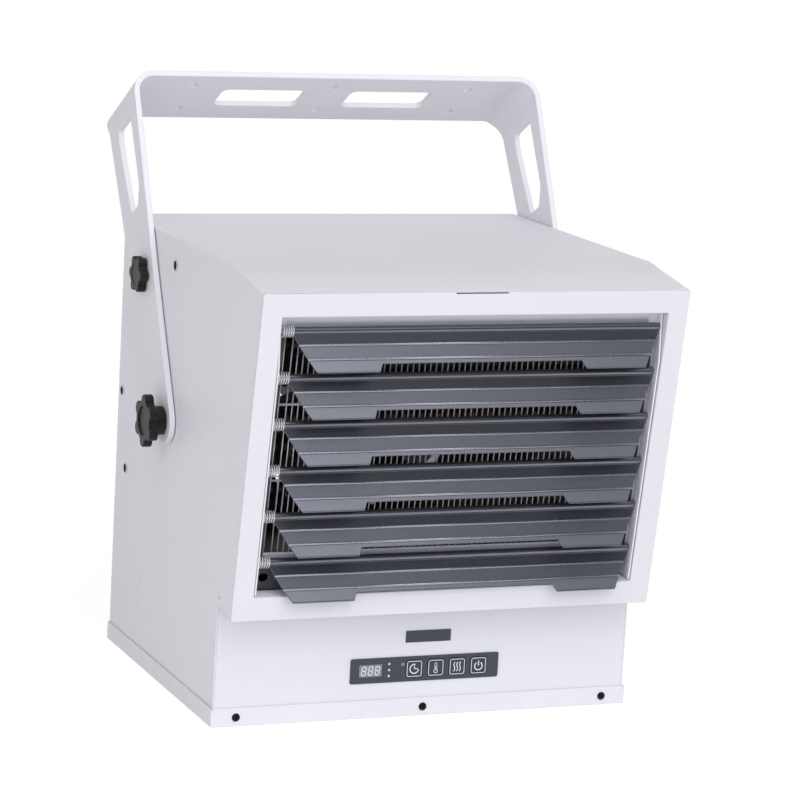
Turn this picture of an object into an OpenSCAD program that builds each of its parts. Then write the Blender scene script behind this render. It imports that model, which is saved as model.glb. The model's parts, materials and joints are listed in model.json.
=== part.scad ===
// Ceiling-mounted fan heater: sheet-steel cabinet with a tilted louvred outlet,
// hung from a U-bracket that turns about two star knobs.
// +X is to the right of someone facing the heater, -Y is its front, +Z is up.
// The origin is the centre of the base's underside. All sizes are in millimetres.

/* [Cabinet] */
// Width across the two side walls
body_w = 380; // [340:1:460]
// Height from the base to the top sheet
body_h = 392; // [385:1:470]
// Depth from the lower front panel to the rear panel
body_d = 290; // [250:1:350]
// Thickness of the folded sheets
sheet_t = 1.2; // [0.8:0.1:1.6]
// Clearance between sheets that nest in each other
nest_gap = 0.2; // [0.1:0.05:0.4]
// Height of the base pan's upturned edge
pan_h = 16; // [12:1:24]
// Clearance between the base pan and the cabinet
pan_gap = 0.4; // [0.2:0.1:0.8]
// Distance from the base pan's front screws to the floor
pan_screw_z = 7.8; // [6:0.1:9]
// Distance of the outer front screws from the centre line
pan_screw_x = 169.5; // [140:0.5:170]

/* [Hood and bezel] */
// Angle of the hood below the horizontal, and of the bezel from the vertical
hood_tilt = 8.5; // [4:0.5:14]
// Length of the hood along its slope, from the crease to the front lip
hood_len = 81; // [70:1:95]
// Distance of the crease behind the lower front panel
crease_in = 3; // [0:0.5:8]
// Height of the bezel along its slope
bezel_h = 283; // [278:1:300]
// Width of the bezel's opening
window_w = 344; // [310:1:348]
// Distance from the lip to the top of the opening
window_top = 20; // [15:0.5:24]
// Distance from the lip to the bottom of the opening
window_bottom = 262.5; // [255:0.5:264]
// Depth of the bezel's folded returns
return_d = 15; // [12:0.5:18]
// Width of the hook slot in the lip
hook_slot_w = 47; // [30:1:70]

/* [Louvers] */
// Number of louver blades
louver_count = 6; // [6:6]
// Distance from the lip to the first louver's pivot
louver_first = 34.2; // [31:0.1:36]
// Distance between louver pivots
louver_pitch = 40.1; // [38:0.1:40.3]
// Depth of the pivots behind the bezel's face
pivot_depth = 9; // [8:0.5:10]
// Angle of a blade from the bezel's plane in the resting position
louver_rest = 34; // [20:1:60]
// Length of one of a blade's three facets
facet_len = 12; // [10:0.1:12]
// Angle between neighbouring facets
facet_bend = 8; // [0:1:12]
// Thickness of a blade
blade_t = 1.3; // [1:0.1:1.8]
// Amount by which a blade narrows at each end, from its pivot to its lower edge
blade_taper = 18; // [8:1:24]
// Height of the beads along a blade
bead_h = 0.9; // [0.5:0.1:1.2]
// Width of the notch in a blade's lower edge
notch_w = 186; // [120:1:220]
// Depth of that notch
notch_d = 7.5; // [4:0.5:9]
// Radius of the louver pins
pin_r = 2; // [1.5:0.1:2.5]
// Running clearance of a blade on its pin
pin_gap = 0.05; // [0.03:0.01:0.08]
// Length of the springs at the left pins
spring_len = 11; // [9:0.5:13]
// Outer radius of the springs
spring_r = 4.7; // [4.2:0.1:5]
// Radius of the spring wire
spring_wire_r = 0.4; // [0.3:0.05:0.5]
// Curls in each spring
spring_curls = 6; // [4:1:7]

/* [Hanging bracket] */
// Angle at which the bracket leans back in the resting position
bracket_lean = 30; // [30:30]
// Height of the bracket's pivots above the base
pivot_z = 233; // [225:1:240]
// Distance from the pivots to the underside of the ceiling plate
arm_len = 308; // [296:1:370]
// Thickness of the bracket
bracket_t = 5; // [4:0.5:6]
// Gap between the bracket's arms and the cabinet's sides
arm_gap = 1; // [0.8:0.1:2]
// Inner radius of the two bends
bend_r = 15; // [12:1:20]
// Radius of the arms' lower ends
arm_end_r = 20; // [18:1:24]
// Depth of the ceiling plate
plate_d = 92; // [84:1:100]
// Distance of the ceiling plate's centre line behind the arms' line
plate_back = 9; // [4:1:14]
// Distance between the columns of ceiling holes
hole_col = 133; // [120:1:140]
// Distance between the two rows of ceiling holes
hole_row = 50; // [40:1:56]
// Radius of the ceiling holes
hole_r = 4.2; // [3:0.1:5]
// Width of each slot in the ceiling plate
slot_w = 80; // [50:1:86]
// Depth of each slot in the ceiling plate
slot_d = 35; // [20:1:40]

/* [Knobs and inserts] */
// Distance from the pivot to the locking holes
lock_r = 135; // [120:1:140]
// Radius of the studs
stud_r = 4; // [3:0.1:4]
// Running clearance round the studs
stud_gap = 0.05; // [0.03:0.01:0.1]
// Tip radius of the pivot knobs
pivot_knob_r = 23; // [20:0.5:26]
// Thickness of the pivot knobs' discs
pivot_knob_t = 8; // [6:0.5:10]
// Length of the pivot knobs' hubs
pivot_hub_len = 10; // [6:0.5:14]
// Tip radius of the lock knobs
lock_knob_r = 16.5; // [14:0.5:20]
// Thickness of the lock knobs' discs
lock_knob_t = 7.5; // [6:0.5:10]
// Outer radius of the threaded inserts' flanges
insert_flange_r = 5.6; // [5.4:0.1:7]
// Height of those flanges above the cabinet's side
insert_flange_t = 0.6; // [0.4:0.1:0.7]
// Length of the threaded inserts behind the flange
insert_len = 14; // [10:1:16]

/* [Controls] */
// Width of the control overlay
overlay_w = 137; // [132:1:164]
// Height of the control overlay
overlay_h = 22; // [20:0.5:26]
// Thickness of the control overlay
overlay_t = 1; // [0.6:0.1:1.4]
// Height of the overlay's centre above the base
overlay_z = 41.6; // [38:0.1:44]
// Width and height of a key
key_w = 15.2; // [13:0.1:15.6]
// Distance between the keys' centres
key_pitch = 19.9; // [19:0.1:21]
// Distance of the first key's centre from the centre line
key_first_x = -9.4; // [-10:0.1:-8]
// Clearance round keys, lamps and the display
key_gap = 0.3; // [0.2:0.05:0.4]
// Travel of a key
key_travel = 0.25; // [0.2:0.05:0.25]
// Depth of the circuit board behind the front panel's face
board_depth = 10; // [9:0.5:14]
// Width of the blank badge plate
badge_w = 41.5; // [30:0.5:60]
// Height of the blank badge plate
badge_h = 10.3; // [8:0.1:16]
// Distance of the badge plate's centre to the right of the centre line
badge_x = 2.3; // [-60:0.1:60]
// Height of the badge plate's centre above the base
badge_z = 70; // [66:0.5:80]

/* [Fan and heating] */
// Distance from the top sheet down to the fan's axis
fan_drop = 144; // [142:1:146]
// Radius of the fan
fan_r = 108; // [80:1:110]
// Clearance between the fan's tips and the shroud
tip_gap = 6; // [4:0.5:10]
// Radius of the air inlet in the rear panel
inlet_r = 115; // [90:1:118]
// Number of fan blades
fan_blades = 5; // [3:1:5]
// Pitch angle of the fan blades
blade_pitch = 26; // [15:1:32]
// Radius of the motor
motor_r = 42; // [30:1:48]
// Length of the motor's body
motor_len = 45; // [35:1:50]
// Radius of the motor's shaft
shaft_r = 4; // [3:0.1:5]
// Radius of a heating tube
tube_r = 4; // [3:0.1:5]
// Distance between a heating tube's two legs
leg_pitch = 26; // [22:1:28]
// Distance between the three heating tubes
element_pitch = 63; // [56:1:64]
// Radius of the fins on the heating tubes
fin_r = 10.5; // [8:0.5:10.5]
// Distance between those fins
fin_pitch = 8; // [6:0.5:12]
// Distance between the outlet guard's wires
wire_pitch = 5.15; // [4:0.05:8]
// Width of the outlet guard's wires
wire_w = 1.4; // [1:0.1:2]
// Radius of the knockout for the supply cable
knockout_r = 14; // [10:0.5:18]

/* [Hidden] */
$fn = 48;

// How far a cutting shape runs past what it cuts
over = 1;

// Colours
powder_white = "#dcdde3";
zinc_grey = "#9a9ba1";
bright_steel = "#b9bac0";
louver_grey = "#4c4e58";
overlay_grey = "#2c2e36";
knob_black = "#26262a";

// Cabinet planes and corners, in the plane of the side walls (y, z)
front_y = -body_d / 2;
rear_y = body_d / 2;
floor_z = sheet_t;
crease_y = front_y + crease_in;
lip_y = crease_y - hood_len * cos(hood_tilt);
lip_z = body_h - hood_len * sin(hood_tilt);
inside_w = body_w - 2 * sheet_t;
nested_w = inside_w - 2 * nest_gap;
wrap_start = sheet_t + nest_gap;
rear_flange_d = 16;

// A point d behind the bezel's face and s down its slope, as (y, z)
function hood_pt(d, s) = [lip_y + d * cos(hood_tilt) + s * sin(hood_tilt),
                          lip_z + d * sin(hood_tilt) - s * cos(hood_tilt)];
// Depth behind the bezel at which the line s meets the plane y
function hood_depth(y, s) = (y - lip_y - s * sin(hood_tilt)) / cos(hood_tilt);
function hood_z(y, s) = hood_pt(hood_depth(y, s), s)[1];

hood_floor_z = hood_z(front_y, bezel_h);

// Outlet frame behind the bezel: its plates reach in past the window's edges
plate_inset = 1;
frame_rim = 9.5;
top_shield_h = 18;
bottom_shield_h = 33.5;
side_plate_x = window_w / 2 - plate_inset;
frame_d = return_d;
frame_back = frame_d + sheet_t;
frame_inner_x = window_w / 2 - frame_rim;
frame_top_s = window_top + top_shield_h;
frame_bottom_s = window_bottom - bottom_shield_h;
plates_top_s = window_top + plate_inset;
plates_bottom_s = window_bottom - plate_inset;
foot_w = 30;
shield_play = 0.1;
guard_d = frame_back + 0.3;
guard_t = 1.6;

// Louvers
end_play = 0.3;
barrel_wall = 1.2;
bead_w = 1.6;
blade_left = -(side_plate_x - sheet_t) + spring_len + end_play;
blade_right = side_plate_x - sheet_t - end_play;
blade_mid = (blade_left + blade_right) / 2;
barrel_r = pin_r + barrel_wall;
blade_len = facet_len * (1 + 2 * cos(facet_bend));
function louver_s(i) = louver_first + i * louver_pitch;

// Bracket, knobs and inserts
arm_in = body_w / 2 + arm_gap;
arm_out = arm_in + bracket_t;
plate_front = plate_d / 2 - plate_back;
plate_rear = -plate_d / 2 - plate_back;
slot_in = 22;
lock_angles = [0, 90, 120];
insert_r = 5;
insert_fit = 0.1;
insert_relief_r = 7;
knob_seat = 0.1;
knob_bore_gap = 0.02;

// Fasteners
screw_r = 1.5;
screw_hole_r = 1.7;
screw_head_r = 3.6;
screw_head_t = 1.6;

// Controls
panel_back = front_y + sheet_t;
board_y = front_y + board_depth;
display_x = -49.5;
display_w = 21;
display_h = 10.8;
lamp_x = -32.6;
lamp_drop = 5.3;
lamp_r = 1.1;
ir_x = -20;
ir_r = 1.7;
ir_z = overlay_z + 4.4;
key_r = 2.4;
board_w = 146;
board_h = 38;
board_t = 1.6;

// Inside
shield_drop = 18;
ceiling_z = body_h - shield_drop;
shelf_z = hood_pt(frame_back, plates_bottom_s)[1];
shelf_top = shelf_z + sheet_t;
strap_t = 2.5;
fan_z = body_h - fan_drop;
motor_back = rear_y - sheet_t - strap_t;
motor_front = motor_back - motor_len;
fan_reach = 25;
fan_y = motor_front - fan_reach;
fan_hub_r = 24;
fan_hub_len = 24;
element_d = 45;
end_plate_x = frame_inner_x + 0.6;
cutout_place = [60, -100, 0];

// ---------- helpers ----------

// Local frame of the hood: x across, y behind the bezel's face, -z down its slope
module in_hood() {
  translate([0, lip_y, lip_z]) rotate([hood_tilt, 0, 0]) children();
}

// Local frame of the bracket: z along the arms, -y towards the front
module in_bracket() {
  translate([0, 0, pivot_z]) rotate([-bracket_lean, 0, 0]) children();
}

// Extrudes an outline drawn in (y, z) across x
module across(width) {
  rotate([90, 0, 90]) linear_extrude(width, center = true) children();
}

// A box from its lowest corner to its highest
module span(low, high) {
  translate(low) cube(high - low);
}

// A box in the hood's frame: x from x0 to x1, depth from d0 to d1, s from s0 to s1
module hood_box(x0, x1, d0, d1, s0, s1) {
  in_hood() span([x0, d0, -s1], [x1, d1, -s0]);
}

// A round bar along x
module bar_x(r, x0, x1) {
  translate([x0, 0, 0]) rotate([0, 90, 0]) cylinder(r = r, h = x1 - x0);
}

// A round bar along y
module bar_y(r, y0, y1) {
  translate([0, y1, 0]) rotate([90, 0, 0]) cylinder(r = r, h = y1 - y0);
}

// An outline's corners rounded by arcs of radius r, for a convex outline that turns left
function unit(v) = v / norm(v);
function corner_arc(a, b, c, r, steps) =
  let (u = unit(a - b), w = unit(c - b), half = acos(u * w) / 2)
  let (centre = b + unit(u + w) * r / sin(half), from = b + u * r / tan(half))
  let (start = atan2(from[1] - centre[1], from[0] - centre[0]), sweep = 180 - 2 * half)
  [for (k = [0 : steps]) centre + r * [cos(start + sweep * k / steps), sin(start + sweep * k / steps)]];
function rounded(pts, r, steps = 5) =
  let (n = len(pts))
  [for (i = [0 : n - 1]) each corner_arc(pts[(i + n - 1) % n], pts[i], pts[(i + 1) % n], r, steps)];
function box_pts(w, h) = [[-w / 2, -h / 2], [w / 2, -h / 2], [w / 2, h / 2], [-w / 2, h / 2]];

// A plate with rounded corners that stands in the front panel's plane
module front_plate(x, z, w, h, r, y0, y1) {
  translate([x, y1, z]) rotate([90, 0, 0]) linear_extrude(y1 - y0) polygon(rounded(box_pts(w, h), r));
}

// The places of the inserts round a pivot, as (y, z) from the pivot
function lock_place(angle) = lock_r * [sin(angle), cos(angle)];
insert_places = concat([[0, 0]], [for (a = concat(lock_angles, [bracket_lean])) lock_place(a)]);

// The three screws along the base pan's front or rear edge
module at_pan_screws() {
  for (x = [-1, 0, 1]) translate([x * pan_screw_x, 0, pan_screw_z]) children();
}

// The four screws round the rear fan guard, from the fan's axis
module at_guard_screws() {
  for (a = [45 : 90 : 315]) rotate([0, a, 0]) translate([guard_screw_r, 0, 0]) children();
}

// ---------- casing ----------

module side_outline() {
  polygon([
    [rear_y, floor_z], [rear_y, body_h], [crease_y, body_h],
    hood_pt(wrap_start, 0), hood_pt(wrap_start, bezel_h),
    [front_y, hood_floor_z], [front_y, floor_z]
  ]);
}

// The hollow in it runs past the outline wherever the sheet is open
module hollow_outline() {
  under_top = body_h - sheet_t;
  crease_d = (under_top - lip_z + sheet_t * cos(hood_tilt)) / sin(hood_tilt);
  past = 3;
  polygon([
    [rear_y + over, floor_z - over], [rear_y + over, under_top], hood_pt(crease_d, sheet_t),
    hood_pt(-past, sheet_t), hood_pt(-past, bezel_h + past),
    [front_y - past, hood_floor_z - past], [front_y - past, floor_z - over]
  ]);
}

module insert_holes() {
  for (side = [-1, 1]) for (place = insert_places)
    translate([side * body_w / 2, place[0], pivot_z + place[1]]) bar_x(insert_r + insert_fit, -4, 4);
}

hood_hole_r = 1.6;
hood_hole_s = bezel_h - 8;
hood_hole = hood_pt(hood_depth(front_y - 4, hood_hole_s), hood_hole_s);
knockout_y = 53;
knockout_z = 64;

// The slot for a hook in the lip, cut through the wrap and the bezel alike
module hook_slot() {
  hood_box(-hook_slot_w / 2, hook_slot_w / 2, -over, 3, -over, 1.5);
}

module cabinet_wrap() color(powder_white) {
  difference() {
    across(body_w) side_outline();
    across(inside_w) hollow_outline();
    insert_holes();
    translate([0, hood_hole[0], hood_hole[1]]) bar_x(hood_hole_r, -body_w, body_w);
    translate([-body_w / 2, knockout_y, knockout_z]) bar_x(knockout_r, -4, 4);
    hook_slot();
  }
}

module front_bezel() color(powder_white) {
  flange_d = 13;
  flange_x = nested_w / 2;
  flange_in = flange_x - sheet_t;
  flange_s0 = sheet_t + nest_gap;
  flange_s1 = bezel_h - sheet_t - nest_gap;
  return_x = window_w / 2 + sheet_t;
  hook_room_d = 9;
  hook_x = hook_slot_w / 2;
  difference() {
    union() {
      hood_box(-body_w / 2, body_w / 2, 0, sheet_t, 0, bezel_h);
      difference() {
        hood_box(-flange_x, flange_x, sheet_t / 2, flange_d, flange_s0, flange_s1);
        hood_box(-flange_in, flange_in, 0, flange_d + over, flange_s0 + sheet_t, flange_s1 - sheet_t);
      }
      hood_box(-return_x, return_x, sheet_t / 2, return_d, window_top - sheet_t, window_bottom + sheet_t);
    }
    hood_box(-window_w / 2, window_w / 2, -over, return_d + over, window_top, window_bottom);
    hook_slot();
    hood_box(-hook_x, hook_x, sheet_t, hook_room_d, flange_s0 - nest_gap, flange_s0 + 2 * sheet_t);
  }
}

module lower_front_panel() color(powder_white) {
  fold_s = bezel_h - sheet_t;
  front_d = sheet_t + nest_gap;
  difference() {
    across(nested_w) polygon([
      [front_y, floor_z], [front_y, hood_floor_z], hood_pt(front_d, bezel_h), hood_pt(front_d, fold_s),
      [panel_back, hood_z(panel_back, fold_s)], [panel_back, floor_z]
    ]);
    at_pan_screws() bar_y(screw_hole_r, front_y - over, panel_back + over);
    control_openings(front_y - over, panel_back + over);
  }
}

module base_pan() color(powder_white) {
  in_x = body_w / 2 + pan_gap;
  in_front = front_y - pan_gap;
  in_rear = rear_y + pan_gap;
  relief_r = 1.3;
  relief_h = 1.5;
  difference() {
    span([-in_x - sheet_t, in_front - sheet_t, 0], [in_x + sheet_t, in_rear + sheet_t, pan_h]);
    span([-in_x, in_front, floor_z], [in_x, in_rear, pan_h + over]);
    at_pan_screws() bar_y(screw_hole_r, in_front - sheet_t - over, front_y);
    at_pan_screws() bar_y(screw_hole_r, rear_y, in_rear + sheet_t + over);
    for (x = [-in_x, in_x]) translate([x, in_front, pan_h - relief_h])
      cylinder(r = relief_r, h = relief_h + over);
  }
}

module rear_panel() color(powder_white) {
  top = body_h - sheet_t - nest_gap;
  flange_y = rear_y - rear_flange_d;
  difference() {
    union() {
      span([-nested_w / 2, rear_y - sheet_t, floor_z], [nested_w / 2, rear_y, top]);
      for (side = [-1, 1]) scale([side, 1, 1])
        span([nested_w / 2 - sheet_t, flange_y, floor_z], [nested_w / 2, rear_y - sheet_t / 2, top]);
    }
    translate([0, 0, fan_z]) bar_y(inlet_r, rear_y - 5, rear_y + 5);
    translate([0, lock_r, pivot_z]) bar_x(insert_relief_r, -body_w, body_w);
    at_pan_screws() bar_y(screw_hole_r, rear_y - 3, rear_y + over);
    translate([0, 0, fan_z]) at_guard_screws() bar_y(screw_hole_r, rear_y - 3, rear_y + over);
  }
}

// ---------- guards ----------

guard_wire_r = 1.5;
guard_ring_count = 7;
guard_screw_r = inlet_r + 10;
guard_seat_y = rear_y + 0.05;
guard_eye_y = rear_y + 3.1;

module ring_y(r, wire) {
  rotate([90, 0, 0]) rotate_extrude($fn = 96) translate([r, 0]) circle(wire);
}

module rear_fan_guard() color(zinc_grey) translate([0, 0, fan_z]) {
  weld = 0.5;
  eye_r = 5;
  eye_hole_r = 2.2;
  spoke_y = guard_seat_y + guard_wire_r;
  rings_y = spoke_y + 2 * guard_wire_r - weld;
  rings_r = inlet_r + 3;
  difference() {
    union() {
      for (i = [1 : guard_ring_count])
        translate([0, rings_y, 0]) ring_y(i * rings_r / guard_ring_count, guard_wire_r);
      for (a = [45, 135]) rotate([0, a, 0])
        translate([0, spoke_y, 0]) bar_x(guard_wire_r, -guard_screw_r, guard_screw_r);
      at_guard_screws() bar_y(eye_r, guard_seat_y, guard_eye_y);
    }
    at_guard_screws() bar_y(eye_hole_r, rear_y - over, guard_eye_y + over);
  }
}

module outlet_guard() color(zinc_grey) {
  lap = 4;
  rail_w = 3;
  cross_r = 1.1;
  cross_sink = 0.2;
  cross_count = 4;
  half_w = frame_inner_x - 0.3;
  s0 = frame_top_s - lap;
  s1 = frame_bottom_s + lap;
  gap = wire_pitch - wire_w;
  count = floor((2 * half_w - 2 * wire_w) / wire_pitch);
  cross_first = s0 + 10;
  cross_pitch = (s1 - s0 - 20) / (cross_count - 1);
  in_hood() {
    translate([0, guard_d + guard_t, 0]) rotate([90, 0, 0]) linear_extrude(guard_t) difference() {
      translate([-half_w, -s1]) square([2 * half_w, s1 - s0]);
      for (i = [0 : count - 1]) translate([(i - (count - 1) / 2) * wire_pitch - gap / 2, -s1 + rail_w])
        square([gap, s1 - s0 - 2 * rail_w]);
    }
    for (k = [0 : cross_count - 1])
      translate([0, guard_d + guard_t + cross_r - cross_sink, -cross_first - k * cross_pitch])
        bar_x(cross_r, -half_w, half_w);
  }
}

// ---------- outlet frame ----------

// An L-shaped bracket that holds the louver pins, drawn for the right-hand side
module louver_bracket() {
  narrow_d = 7.4;
  wide_d = 1.6;
  step_s0 = 28;
  step_s1 = 62;
  foot_top_s = frame_bottom_s + 8;
  foot_hole_r = 4.25;
  foot_hole_in = 11;
  in_hood() difference() {
    union() {
      translate([side_plate_x, 0, 0]) rotate([0, -90, 0]) linear_extrude(sheet_t) polygon([
        [-plates_bottom_s, wide_d], [-step_s1, wide_d], [-step_s0, narrow_d], [-plates_top_s, narrow_d],
        [-plates_top_s, frame_back], [-plates_bottom_s, frame_back]
      ]);
      span([frame_inner_x, frame_d, -plates_bottom_s], [nested_w / 2 - 0.2, frame_back, -plates_top_s]);
      span([side_plate_x - foot_w, frame_d, -plates_bottom_s], [side_plate_x, frame_back, -foot_top_s]);
    }
    for (i = [0 : louver_count - 1])
      translate([side_plate_x, pivot_depth, -louver_s(i)]) bar_x(pin_r + pin_gap, -sheet_t - over, over);
    translate([side_plate_x - foot_hole_in, 0, foot_hole_in - plates_bottom_s])
      bar_y(foot_hole_r, frame_d - over, frame_back + over);
  }
}

module louver_bracket_left() color(zinc_grey) mirror([1, 0, 0]) louver_bracket();
module louver_bracket_right() color(zinc_grey) louver_bracket();

module upper_heat_shield() color(zinc_grey) {
  half_w = frame_inner_x - shield_play;
  strip_mid_d = frame_d + sheet_t / 2;
  fold_s = window_top - 2.8;
  duct_z = ceiling_z - sheet_t;
  duct_end = fan_y - 14;
  hanger_x = frame_inner_x - 6;
  hanger_w = 10;
  difference() {
    union() {
      hood_box(-half_w, half_w, frame_d, frame_back, window_top - 3, frame_top_s);
      across(2 * half_w) polygon([
        hood_pt(strip_mid_d, fold_s), hood_pt(strip_mid_d, fold_s + sheet_t),
        [crease_y, duct_z], [duct_end, duct_z], [duct_end, ceiling_z], [crease_y, ceiling_z]
      ]);
      for (side = [-1, 1]) translate([side * hanger_x, crease_y, 0])
        span([-hanger_w / 2, 20, ceiling_z - sheet_t / 2], [hanger_w / 2, 80, body_h - sheet_t - 0.1]);
    }
    translate(cutout_place) cylinder(r = 6.2, h = body_h - sheet_t - 2);
  }
}

module lower_heat_shield() color(zinc_grey) {
  panel_x = frame_inner_x - shield_play;
  foot_x = side_plate_x - foot_w - 2 * shield_play;
  strip_h = 7.5;
  strip_s = frame_bottom_s + strip_h;
  fold_y = hood_pt(frame_back, plates_bottom_s)[0] - sheet_t;
  shelf_x = nested_w / 2 - 1.3;
  shelf_y0 = front_y + 20;
  shelf_y1 = rear_y - rear_flange_d - 0.3;
  hood_box(-panel_x, panel_x, frame_d, frame_back, frame_bottom_s, strip_s);
  hood_box(-foot_x, foot_x, frame_d, frame_back, strip_s - 0.5, plates_bottom_s);
  span([-foot_x, fold_y, shelf_z], [foot_x, shelf_y0 + 2, shelf_top]);
  span([-shelf_x, shelf_y0, shelf_z], [shelf_x, shelf_y1, shelf_top]);
}

module pin_at(i) {
  in_hood() translate([0, pivot_depth, -louver_s(i)]) children();
}

module louver_pins() color(bright_steel) {
  head_r = pin_r + 1.3;
  head_t = 0.8;
  reach = 10;
  for (i = [0 : louver_count - 1]) pin_at(i) {
    bar_x(pin_r, blade_right - reach, side_plate_x + head_t / 2);
    bar_x(head_r, side_plate_x, side_plate_x + head_t);
    bar_x(pin_r, -side_plate_x - head_t / 2, blade_left + reach);
    bar_x(head_r, -side_plate_x - head_t, -side_plate_x);
  }
}

// ---------- louver springs: one unbroken helix each ----------

spring_sides = 6;
spring_rings = 8;
spring_mean_r = spring_r - spring_wire_r;
spring_x0 = -(side_plate_x - sheet_t) + end_play / 3;
spring_x1 = spring_x0 + spring_len;
spring_lead = 2 * spring_wire_r;
spring_steps = spring_curls * spring_rings;
spring_ends = 0.3;
spring_pitch = (spring_len - 2 * spring_lead) / (spring_curls + 2 * spring_ends);

// The wire's centre line: a straight lead, the curls, and a straight lead
function spring_pt(k) =
  let (t = k / spring_rings, x = spring_x0 + spring_lead + spring_pitch * (spring_ends + t))
  [x, spring_mean_r * cos(360 * t), spring_mean_r * sin(360 * t)];
spring_path = concat(
  [[spring_x0, spring_mean_r, 0], [spring_x0 + spring_lead, spring_mean_r, 0]],
  [for (k = [1 : spring_steps - 1]) spring_pt(k)],
  [[spring_x1 - spring_lead, spring_mean_r, 0], [spring_x1, spring_mean_r, 0]]
);

// A tube swept along a path, with its rings square to the path and turned towards the axis
function sweep_dir(path, i) =
  i == 0 || i == 1 ? [1, 0, 0] :
  i >= len(path) - 2 ? [1, 0, 0] : unit(path[i + 1] - path[i - 1]);
function sweep_ring(path, i, r, sides) =
  let (t = sweep_dir(path, i), out = unit([0, path[i][1], path[i][2]]))
  let (n = unit(out - (out * t) * t), b = cross(t, n))
  [for (j = [0 : sides - 1]) path[i] + r * (cos(360 * j / sides) * n + sin(360 * j / sides) * b)];

module swept_tube(path, r, sides) {
  rings = len(path);
  last = (rings - 1) * sides;
  points = [for (i = [0 : rings - 1]) each sweep_ring(path, i, r, sides)];
  walls = [for (i = [0 : rings - 2]) for (j = [0 : sides - 1])
    let (a = i * sides + j, b = i * sides + (j + 1) % sides, c = a + sides, d = b + sides)
    each [[a, b, c], [b, d, c]]];
  ends = [for (j = [1 : sides - 2]) each [[0, j + 1, j], [last, last + j, last + j + 1]]];
  polyhedron(points, concat(walls, ends));
}

// The least gap between neighbouring curls
spring_self_gap = min([for (k = [1 : spring_steps - spring_rings - 1])
  norm(spring_pt(k + spring_rings) - spring_pt(k)) - 2 * spring_wire_r]);
echo(str("least gap of a louver spring to itself, mm: ", spring_self_gap));

module louver_springs() color("silver") {
  for (i = [0 : louver_count - 1]) pin_at(i) swept_tube(spring_path, spring_wire_r, spring_sides);
}

// ---------- louver blades ----------

// The blade's section: u runs down the blade and v towards the viewer
function facet_end(k) =
  k == 0 ? [0, 0] : facet_end(k - 1) + facet_len * [cos((k - 2) * facet_bend), sin((k - 2) * facet_bend)];

module blade_section() {
  spine = [for (k = [0 : 3]) facet_end(k)];
  lip_h = 0.5;
  difference() {
    union() {
      polygon(concat(spine, [for (k = [3 : -1 : 0]) spine[k] - [0, blade_t]]));
      circle(barrel_r);
      for (k = [1, 2]) translate(spine[k] - [bead_w, blade_t] / 2) square([bead_w, bead_h + blade_t / 2]);
      translate(spine[3] - [lip_h * 2, blade_t]) square([lip_h * 2, blade_t + lip_h]);
    }
    circle(pin_r + pin_gap);
  }
}

module blade_outline() {
  top = -barrel_r - over;
  low = blade_len;
  shoulder = 4;
  corner = 2;
  notch_slope = 4;
  notch_corner = 0.5;
  notch_l = blade_mid - notch_w / 2;
  notch_r = blade_mid + notch_w / 2;
  polygon([
    [blade_left, top], [blade_left, shoulder],
    [blade_left + blade_taper - corner, low - corner], [blade_left + blade_taper, low + over],
    [notch_l, low + over], [notch_l + notch_corner, low], [notch_l + notch_slope, low - notch_d],
    [notch_r - notch_slope, low - notch_d], [notch_r - notch_corner, low], [notch_r, low + over],
    [blade_right - blade_taper, low + over], [blade_right - blade_taper + corner, low - corner],
    [blade_right, shoulder], [blade_right, top]
  ]);
}

module louver(i) color(louver_grey) pin_at(i) rotate([-louver_rest, 0, 0]) {
  intersection() {
    translate([blade_left, 0, 0]) rotate([0, 90, 0]) mirror([0, 1, 0])
      linear_extrude(blade_right - blade_left) blade_section();
    rotate([90, 0, 0]) mirror([0, 1, 0]) linear_extrude(2 * blade_len, center = true) blade_outline();
  }
}

module louver_1() louver(0);
module louver_2() louver(1);
module louver_3() louver(2);
module louver_4() louver(3);
module louver_5() louver(4);
module louver_6() louver(5);

// ---------- hanging bracket ----------

module u_section(half_w, top, r) {
  tail = 60;
  translate([-half_w, -tail]) square([2 * half_w, top - r + tail]);
  translate([-half_w + r, 0]) square([2 * (half_w - r), top]);
  for (side = [-1, 1]) translate([side * (half_w - r), top - r]) circle(r, $fn = 64);
}

// The arm's outline: x is the depth behind the arms' line, y the distance from the pivot
module arm_outline() {
  top = arm_len + bracket_t + over;
  polygon([
    [-arm_end_r, 0], [arm_end_r, 0], [arm_end_r + 12, 62], [-plate_rear - 9, arm_len - 22],
    [-plate_rear, arm_len - 5], [-plate_rear, top], [-plate_front, top],
    [-plate_front + 1, arm_len - 18], [-arm_end_r - 4, 105]
  ]);
  circle(arm_end_r);
}

// The window in each arm keeps a rim to the bend and a waist round the locking hole
window_low = 197;
window_high = arm_len - 29;
window_corner_r = 3.5;
window_pts = [
  [13.5, window_low], [22, window_high - 11], [20, window_high],
  [-16, window_high], [-16, window_low + 16], [-6, window_low]
];

module hanging_bracket() color(powder_white) in_bracket() difference() {
  slot_corner_r = 7;
  hole_h = bracket_t + 2 * over;
  intersection() {
    rotate([90, 0, 0]) linear_extrude(2 * plate_d, center = true) difference() {
      u_section(arm_out, arm_len + bracket_t, bend_r + bracket_t);
      u_section(arm_in, arm_len, bend_r);
    }
    across(2 * arm_out + 10) arm_outline();
  }
  across(2 * arm_out + 10) polygon(rounded(window_pts, window_corner_r));
  for (z = [0, lock_r]) translate([0, 0, z]) bar_x(stud_r + stud_gap, -arm_out - over, arm_out + over);
  for (x = [-hole_col, 0, hole_col]) for (side = [-1, 1])
    translate([x, plate_back + side * hole_row / 2, arm_len - over]) cylinder(r = hole_r, h = hole_h);
  for (side = [-1, 1]) translate([side * (slot_in + slot_w / 2), plate_back, arm_len - over])
    linear_extrude(hole_h) polygon(rounded(box_pts(slot_w, slot_d), slot_corner_r));
}

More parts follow.
